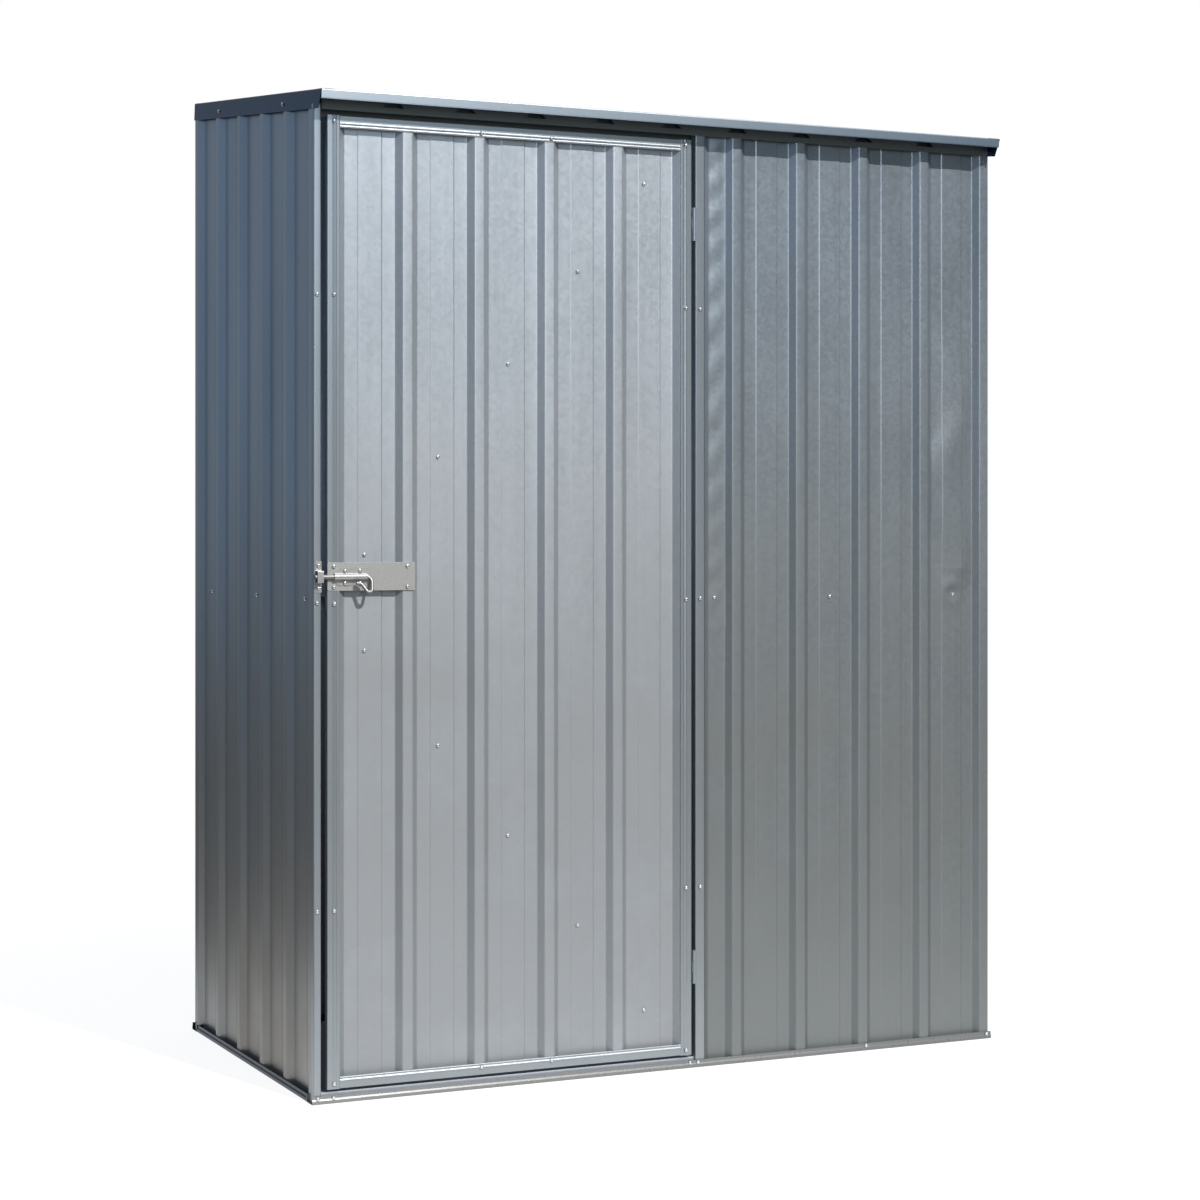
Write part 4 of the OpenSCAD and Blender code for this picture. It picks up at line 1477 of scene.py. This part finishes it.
@dataclass
class Rivets:
    """Domed rivets of one body, modelled once and copied to their places."""

    name: str
    body: Body
    finish: bpy.types.Material
    dome: float = 0.0040
    flange: float = 0.0051
    flange_t: float = 0.0006
    dome_share: float = 0.72
    mark_share: float = 0.2
    mark_depth: float = 0.35 * MM
    round_angle: float = 40.0
    places: list[tuple[Vector, Vector]] = field(default_factory=list)

    def add(self, place: Vector, facing: Vector) -> None:
        """Notes a rivet at a place on a face."""
        self.places.append((place, facing))

    def _pattern(self) -> bpy.types.Object:
        """Flattened half ball on a thin flange, with a sunken mandrel mark.

        Returns:
            The rivet, with its flange on the ground.
        """
        Bench.clear()
        bpy.ops.mesh.primitive_uv_sphere_add(
            segments=14, ring_count=8, radius=self.dome, location=(0.0, 0.0, 0.0))
        piece = Bench.named(self.name)
        Bench.edit()
        Bench.cut(Vector((0.0, 0.0, 0.0)), -Z_AXIS, True)
        bpy.ops.mesh.select_all(action="SELECT")
        bpy.ops.transform.resize(value=(1.0, 1.0, self.dome_share))
        bpy.ops.transform.translate(value=(0.0, 0.0, self.flange_t))
        Bench.pick(lambda place: place.z < self.flange_t + WELD)
        bpy.ops.mesh.extrude_edges_move(TRANSFORM_OT_translate={"value": (0.0, 0.0, 0.0)})
        grow = self.flange / self.dome
        bpy.ops.transform.resize(value=(grow, grow, 1.0), center_override=(0.0, 0.0, self.flange_t))
        bpy.ops.mesh.extrude_edges_move(TRANSFORM_OT_translate={"value": (0.0, 0.0, -self.flange_t)})
        Bench.pick(lambda place: math.hypot(place.x, place.y) < self.mark_share * self.dome)
        bpy.ops.transform.translate(value=(0.0, 0.0, -self.mark_depth))
        Bench.close()
        Bench.smooth(piece, self.round_angle)
        return piece

    def build(self) -> None:
        """Copies the rivet to every place, joins the copies and dresses them."""
        pattern = self._pattern()
        for place, facing in self.places:
            Bench.clear()
            pattern.select_set(True)
            bpy.context.view_layer.objects.active = pattern
            bpy.ops.object.duplicate(linked=False)
            copy = bpy.context.object
            copy.location = place
            copy.rotation_euler = facing.to_track_quat("Z", "Y").to_euler()
        Bench.clear()
        copies = [o for o in bpy.data.objects if o.name.startswith(f"{self.name}.")]
        for copy in copies:
            copy.select_set(True)
        bpy.context.view_layer.objects.active = copies[0]
        bpy.ops.object.transform_apply(location=True, rotation=True, scale=True)
        bpy.ops.object.join()
        joined = bpy.context.object
        Bench.clear()
        pattern.select_set(True)
        bpy.ops.object.delete()
        joined.name = joined.data.name = self.name
        joined.select_set(True)
        dress(joined, self.finish, self.body, Slot.FRAME)


@dataclass
class Fasteners:
    """Where the rivets of the shed and the door sit."""

    sizes: ShedSizes
    walls: Walls
    door: Door
    latch: Latch
    finish: bpy.types.Material
    strip_xs: Point = (0.0105, 0.819)
    strip_rows: tuple[float, ...] = (0.360, 0.937, 1.514)
    front_xs: tuple[float, ...] = (0.857, 1.125, 1.424)
    front_drop: float = 0.004
    side_ys: tuple[float, ...] = (0.088, 0.384, 0.686)
    side_lift: float = 0.002
    rear_xs: tuple[float, ...] = (0.089, 0.385, 0.681, 0.829, 1.125, 1.421)
    base_xs: tuple[float, ...] = (0.011, 0.042, 0.794, 0.812, 1.203, 1.499)
    base_z: float = 0.0105
    base_in: float = 0.0014
    flashing_shares: Point = (0.27, 0.78)
    flashing_drop_share: float = 0.62
    keeper_x: float = 0.013
    keeper_reach: float = 0.0215
    stile_rows: tuple[float, ...] = (0.036, 0.360, 0.935, 1.515, 1.840)
    rail_xs: tuple[float, ...] = (0.343, 0.491)
    rail_in: float = 0.0155
    brace_xs: tuple[float, ...] = (0.108, 0.258, 0.404, 0.553, 0.698)
    upper_brace: Point = (1.027, 1.760)
    lower_brace: Point = (0.846, 0.121)
    plate_ins: Point = (0.0125, 0.0155)
    plate_edge: float = 0.007
    guide_xs: Point = (0.064, 0.094)
    guide_reach: float = 0.0115

    def build(self) -> None:
        """Places, builds and dresses all rivets."""
        self._shed_rivets().build()
        self._door_rivets().build()

    def _shed_rivets(self) -> Rivets:
        """Rivets of the strips, walls, base, flashings and keeper.

        Returns:
            The rivets, not yet built.
        """
        s, walls, latch = self.sizes, self.walls, self.latch
        rivets = Rivets("shed_rivets", Body.SHED, self.finish)
        depth_at = walls.roll.depth_at
        for z in self.strip_rows:
            for x in self.strip_xs:
                rivets.add(s.at(x, s.inset, z), -Y_AXIS)
        for x in self.front_xs:
            y = s.inset + depth_at(walls.front_line, x)
            rivets.add(s.at(x, y, s.mid_rail_z - self.front_drop), -Y_AXIS)
        for y in self.side_ys:
            depth, z = depth_at(walls.side_line, y), s.mid_rail_z + self.side_lift
            rivets.add(s.at(s.inset + depth, y, z), -X_AXIS)
            rivets.add(s.at(s.wall_x1 - depth, y, z), X_AXIS)
        for x in self.rear_xs:
            rivets.add(s.at(x, s.wall_y1 - depth_at(walls.wide_line, x), s.mid_rail_z), Y_AXIS)
        for x in self.base_xs:
            rivets.add(s.at(x, self.base_in, self.base_z), -Y_AXIS)
            rivets.add(s.at(x, s.base_d - self.base_in, self.base_z), Y_AXIS)
        out = s.seat + s.trim_t
        height = s.trim_n - self.flashing_drop_share * s.flashing_h
        for share in self.flashing_shares:
            run = s.roof_s0 + share * (s.roof_s1 - s.roof_s0)
            rivets.add(s.on_roof(s.inset - out, run, height), -X_AXIS)
            rivets.add(s.on_roof(s.wall_x1 + out, run, height), X_AXIS)
        for side in (-1.0, 1.0):
            z = latch.bolt_z + side * self.keeper_reach
            rivets.add(s.at(self.keeper_x, s.inset - latch.plate_t, z), -Y_AXIS)
        return rivets

    def _door_rivets(self) -> Rivets:
        """Rivets of the door's frame, braces, plate and guide.

        Returns:
            The rivets, not yet built.
        """
        s, door, latch = self.sizes, self.door, self.latch
        rivets = Rivets("door_rivets", Body.DOOR, self.finish)
        proud, inset = door.y0 - door.bead_rise, door.bead_from + door.bead_w / 2
        for z in self.stile_rows:
            rivets.add(s.at(door.x0 + inset, proud, z), -Y_AXIS)
            rivets.add(s.at(door.x1 - inset, proud, z), -Y_AXIS)
        for x in self.rail_xs:
            for z in (door.z0 + self.rail_in, door.z1 - self.rail_in):
                rivets.add(s.at(x, proud, z), -Y_AXIS)
        span = self.brace_xs[-1] - self.brace_xs[0]
        for x in self.brace_xs:
            share = (x - self.brace_xs[0]) / span
            y = door.panel_y + door.roll.depth_at(door.line, x)
            for low, high in (self.upper_brace, self.lower_brace):
                rivets.add(s.at(x, y, low + share * (high - low)), -Y_AXIS)
        left, right = self.plate_ins
        plate_reach = latch.plate_h / 2 - self.plate_edge
        for side in (-1.0, 1.0):
            for x in (latch.plate_x0 + left, latch.plate_x0 + latch.plate_w - right):
                rivets.add(s.at(x, latch.plate_y, latch.bolt_z + side * plate_reach), -Y_AXIS)
            for x in self.guide_xs:
                z = latch.bolt_z + side * self.guide_reach
                rivets.add(s.at(x, latch.plate_y - latch.plate_t, z), -Y_AXIS)
        return rivets


@dataclass
class KeptNodes:
    """CAD nodes whose shape is right and that only need their finish."""

    nodes: dict[str, bpy.types.Object]
    frame_finish: bpy.types.Material
    sill_painted_light_finish: bpy.types.Material
    frame_names: tuple[str, ...] = (
        "front_right_post", "rear_left_post", "rear_right_post",
        "rear_top_rail", "left_top_rail", "right_top_rail",
        "left_mid_rail", "right_mid_rail", "rear_mid_rail", "front_mid_rail",
        "door_upper_brace", "door_lower_brace",
        "upper_hinge_frame_leaf", "lower_hinge_frame_leaf",
        "upper_hinge_door_leaf", "lower_hinge_door_leaf")
    sill_names: tuple[str, ...] = ("door_sill",)

    def dress(self) -> None:
        """Gives each kept node its finish."""
        # The sill takes the lighter copy of the frame finish, which paints light onto it.
        groups = ((self.frame_names, self.frame_finish), (self.sill_names, self.sill_painted_light_finish))
        for names, finish in groups:
            for name in names:
                node = self.nodes[name]
                if not node.material_slots:
                    node.data.materials.append(finish)
                for slot in node.material_slots:
                    slot.material = finish
                LOG.info("%s: kept with %s", name, finish.name)


@dataclass
class Studio:
    """Camera, lamps, pale floor and backdrop."""

    camera_place: Triple = (-2.3032, -4.8272, 1.0818)
    camera_turn: float = -24.19
    sensor: float = 36.0
    lens: float = 75.57
    shift: Point = (0.055, -0.062)
    far: float = 300.0
    sun_way: Triple = (0.26, -1.0, 0.87)
    sun_strength: float = 3.45
    sun_angle: float = 1.0
    sun_colour: Colour = (1.0, 0.965, 0.935)
    box_place: Triple = (0.6, -6.3, 3.0)
    box_size: Point = (2.2, 2.4)
    box_power: float = 22.0
    box_colour: Colour = (0.66, 0.87, 1.0)
    strip_place: Triple = (-1.3, -6.3, 1.5)
    strip_size: Point = (0.5, 2.4)
    strip_power: float = 32.0
    strip_colour: Colour = (0.96, 0.98, 1.0)
    aim: Triple = (0.0, 0.0, 1.0)
    room_place: Triple = (0.0, 0.0, 1.2)
    room_size: float = 0.2
    room_power: float = 6.0
    room_colour: Colour = (0.70, 0.85, 1.0)
    footprint: Point = (0.755, 0.392)
    footprint_y: float = 0.019
    footprint_rim: Point = (0.94, 0.99)
    floor_size: float = 9.0
    floor_fade: Point = (1.05, 2.1)
    floor_tint: Colour = (0.25, 0.25, 0.25)
    floor_glow: float = 0.88
    sky_low: Colour = (0.105, 0.115, 0.12)
    sky_left: Colour = (0.20, 0.265, 0.35)
    left_fade: Point = (-0.35, -0.9)
    sky_back: Colour = (0.215, 0.25, 0.29)
    back_fade: Point = (0.2, 0.8)
    ground: Colour = (0.115, 0.11, 0.10)
    ground_fade: Point = (-0.02, -0.10)
    sky_high: Colour = (0.40, 0.50, 0.62)
    high_fade: Point = (0.25, 0.9)
    backdrop_way: Point = (0.432, 0.902)
    backdrop_edge: Point = (30.0, 20.0)
    backdrop_top: Point = (0.30, 0.50)
    least_flat: float = 1e-5

    def build(self) -> None:
        """Sets the scene up."""
        bpy.context.scene.view_settings.view_transform = "Standard"
        self._camera()
        self._lamps()
        self._floor()
        self._world()

    def _camera(self) -> None:
        """Camera at the photograph's viewing angle."""
        bpy.ops.object.camera_add(location=self.camera_place,
                                  rotation=(math.pi / 2, 0.0, math.radians(self.camera_turn)))
        camera = bpy.context.object
        camera.name = "photo_camera"
        camera.data.sensor_fit = "HORIZONTAL"
        camera.data.sensor_width = self.sensor
        camera.data.lens = self.lens
        camera.data.shift_x, camera.data.shift_y = self.shift
        camera.data.clip_end = self.far
        bpy.context.scene.camera = camera

    def _lamps(self) -> None:
        """Sun from the front, two soft boxes before the shed and a dim lamp inside it."""
        way = Vector(self.sun_way)
        bpy.ops.object.light_add(type="SUN", rotation=way.to_track_quat("Z", "Y").to_euler())
        sun = bpy.context.object
        sun.name = "key_sun"
        sun.data.energy = self.sun_strength
        sun.data.angle = math.radians(self.sun_angle)
        sun.data.color = self.sun_colour
        self._soft_box("front_soft_box", self.box_place, self.box_size, self.box_power, self.box_colour)
        self._soft_box("left_strip_box", self.strip_place, self.strip_size, self.strip_power,
                       self.strip_colour)
        bpy.ops.object.light_add(type="POINT", location=self.room_place)
        room = bpy.context.object
        room.name = "room_fill"
        room.data.energy = self.room_power
        room.data.shadow_soft_size = self.room_size
        room.data.color = self.room_colour
        room.visible_glossy = False

    def _soft_box(self, name: str, place: Triple, size: Point, power: float, colour: Colour) -> None:
        """Rectangular lamp that faces the middle of the shed.

        Args:
            name: Name of the lamp.
            place: Its middle.
            size: Its width and height.
            power: Its power in watts.
            colour: Its colour.
        """
        way = Vector(place) - Vector(self.aim)
        bpy.ops.object.light_add(type="AREA", location=place,
                                 rotation=way.to_track_quat("Z", "Y").to_euler())
        box = bpy.context.object
        box.name = name
        box.data.shape = "RECTANGLE"
        box.data.size, box.data.size_y = size
        box.data.energy = power
        box.data.color = colour
        box.visible_camera = False

    def _floor(self) -> None:
        """Pale floor that keeps the object's shadow."""
        Bench.clear()
        bpy.ops.mesh.primitive_plane_add(size=self.floor_size, location=(0.0, 0.0, 0.0))
        floor = Bench.named("studio_floor")
        material = bpy.data.materials.new("pale_floor")
        material.use_nodes = True
        nodes = Nodes(material.node_tree)
        path = "ShaderNodeLightPath"
        seen = (nodes.add(path, {}, {}, "Is Camera Ray") + nodes.add(path, {}, {}, "Is Glossy Ray")
                + nodes.add(path, {}, {}, "Is Transmission Ray"))
        dull = nodes.add("ShaderNodeBsdfDiffuse", {}, {"Color": (*self.floor_tint, 1.0)})
        place = nodes.add("ShaderNodeTexCoord", {}, {}, "Object")
        x, y = nodes.axes(place, "XY")
        math_node, unsigned = "ShaderNodeMath", {"operation": "ABSOLUTE"}
        reach = nodes.add(math_node, {"operation": "MAXIMUM"}, {
            0: nodes.add(math_node, unsigned, {0: x / self.footprint[0]}),
            1: nodes.add(math_node, unsigned, {0: (y - self.footprint_y) / self.footprint[1]})})
        outside = nodes.eased(reach, *self.footprint_rim)
        glow = nodes.add("ShaderNodeEmission", {}, {"Strength": seen * outside * self.floor_glow})
        both = nodes.add("ShaderNodeAddShader", {}, {0: dull, 1: glow})
        fade = nodes.eased((x * x + y * y) ** 0.5, *self.floor_fade)
        clear = nodes.add("ShaderNodeBsdfTransparent", {}, {})
        soft = nodes.add("ShaderNodeMixShader", {}, {0: fade, 1: both, 2: clear})
        nodes.add("ShaderNodeOutputMaterial", {}, {"Surface": soft})
        floor.data.materials.append(material)

    def _world(self) -> None:
        """Soft grey surround with a white backdrop behind the object."""
        world = bpy.data.worlds.new("studio_surround")
        bpy.context.scene.world = world
        world.use_nodes = True
        nodes = Nodes(world.node_tree)
        way = nodes.add("ShaderNodeTexCoord", {}, {}, "Generated")
        x, y, z = nodes.axes(way, "XYZ")
        flat = (x * x + y * y + self.least_flat) ** 0.5
        facing = (x * self.backdrop_way[0] + y * self.backdrop_way[1]) / flat
        behind = nodes.eased(facing, *(math.cos(math.radians(edge)) for edge in self.backdrop_edge))
        low = 1.0 - nodes.eased(z, *self.backdrop_top)
        left = nodes.eased(x / flat, *self.left_fade)
        front = nodes.mixed(left, (*self.sky_low, 1.0), (*self.sky_left, 1.0))
        rim = nodes.mixed(nodes.eased(y / flat, *self.back_fade), front, (*self.sky_back, 1.0))
        under = nodes.mixed(nodes.eased(z, *self.ground_fade), rim, (*self.ground, 1.0))
        sky = nodes.mixed(nodes.eased(z, *self.high_fade), under, (*self.sky_high, 1.0))
        shade = nodes.mixed(behind * low, sky, (1.0, 1.0, 1.0, 1.0))
        surround = nodes.add("ShaderNodeBackground", {}, {"Color": shade, "Strength": 1.0})
        nodes.add("ShaderNodeOutputWorld", {}, {"Surface": surround})


def main() -> None:
    """Builds the shed and its studio on the loaded frame."""
    logging.basicConfig(level=logging.INFO, format="%(name)s: %(message)s")
    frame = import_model()
    sizes = ShedSizes(corner=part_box("base_channel_front")[0])
    roll = RibRoll()
    finishes = Finishes()
    walls = Walls(sizes, roll, finishes.wall, finishes.side)
    door = Door(sizes, roll, finishes.door, finishes.frame, finishes.head)
    latch = Latch(sizes, finishes.plate, finishes.strap, finishes.rod)
    walls.build()
    Roof(sizes, roll, finishes.wall, finishes.fascia, finishes.trim).build()
    BaseAndCorners(sizes, roll, finishes.frame, finishes.base, finishes.rail, finishes.header).build()
    door.build()
    latch.build()
    Fasteners(sizes, walls, door, latch, finishes.rivet).build()
    KeptNodes(frame["nodes"], finishes.frame, finishes.sill).dress()
    Studio().build()


if __name__ == "__main__":
    main()
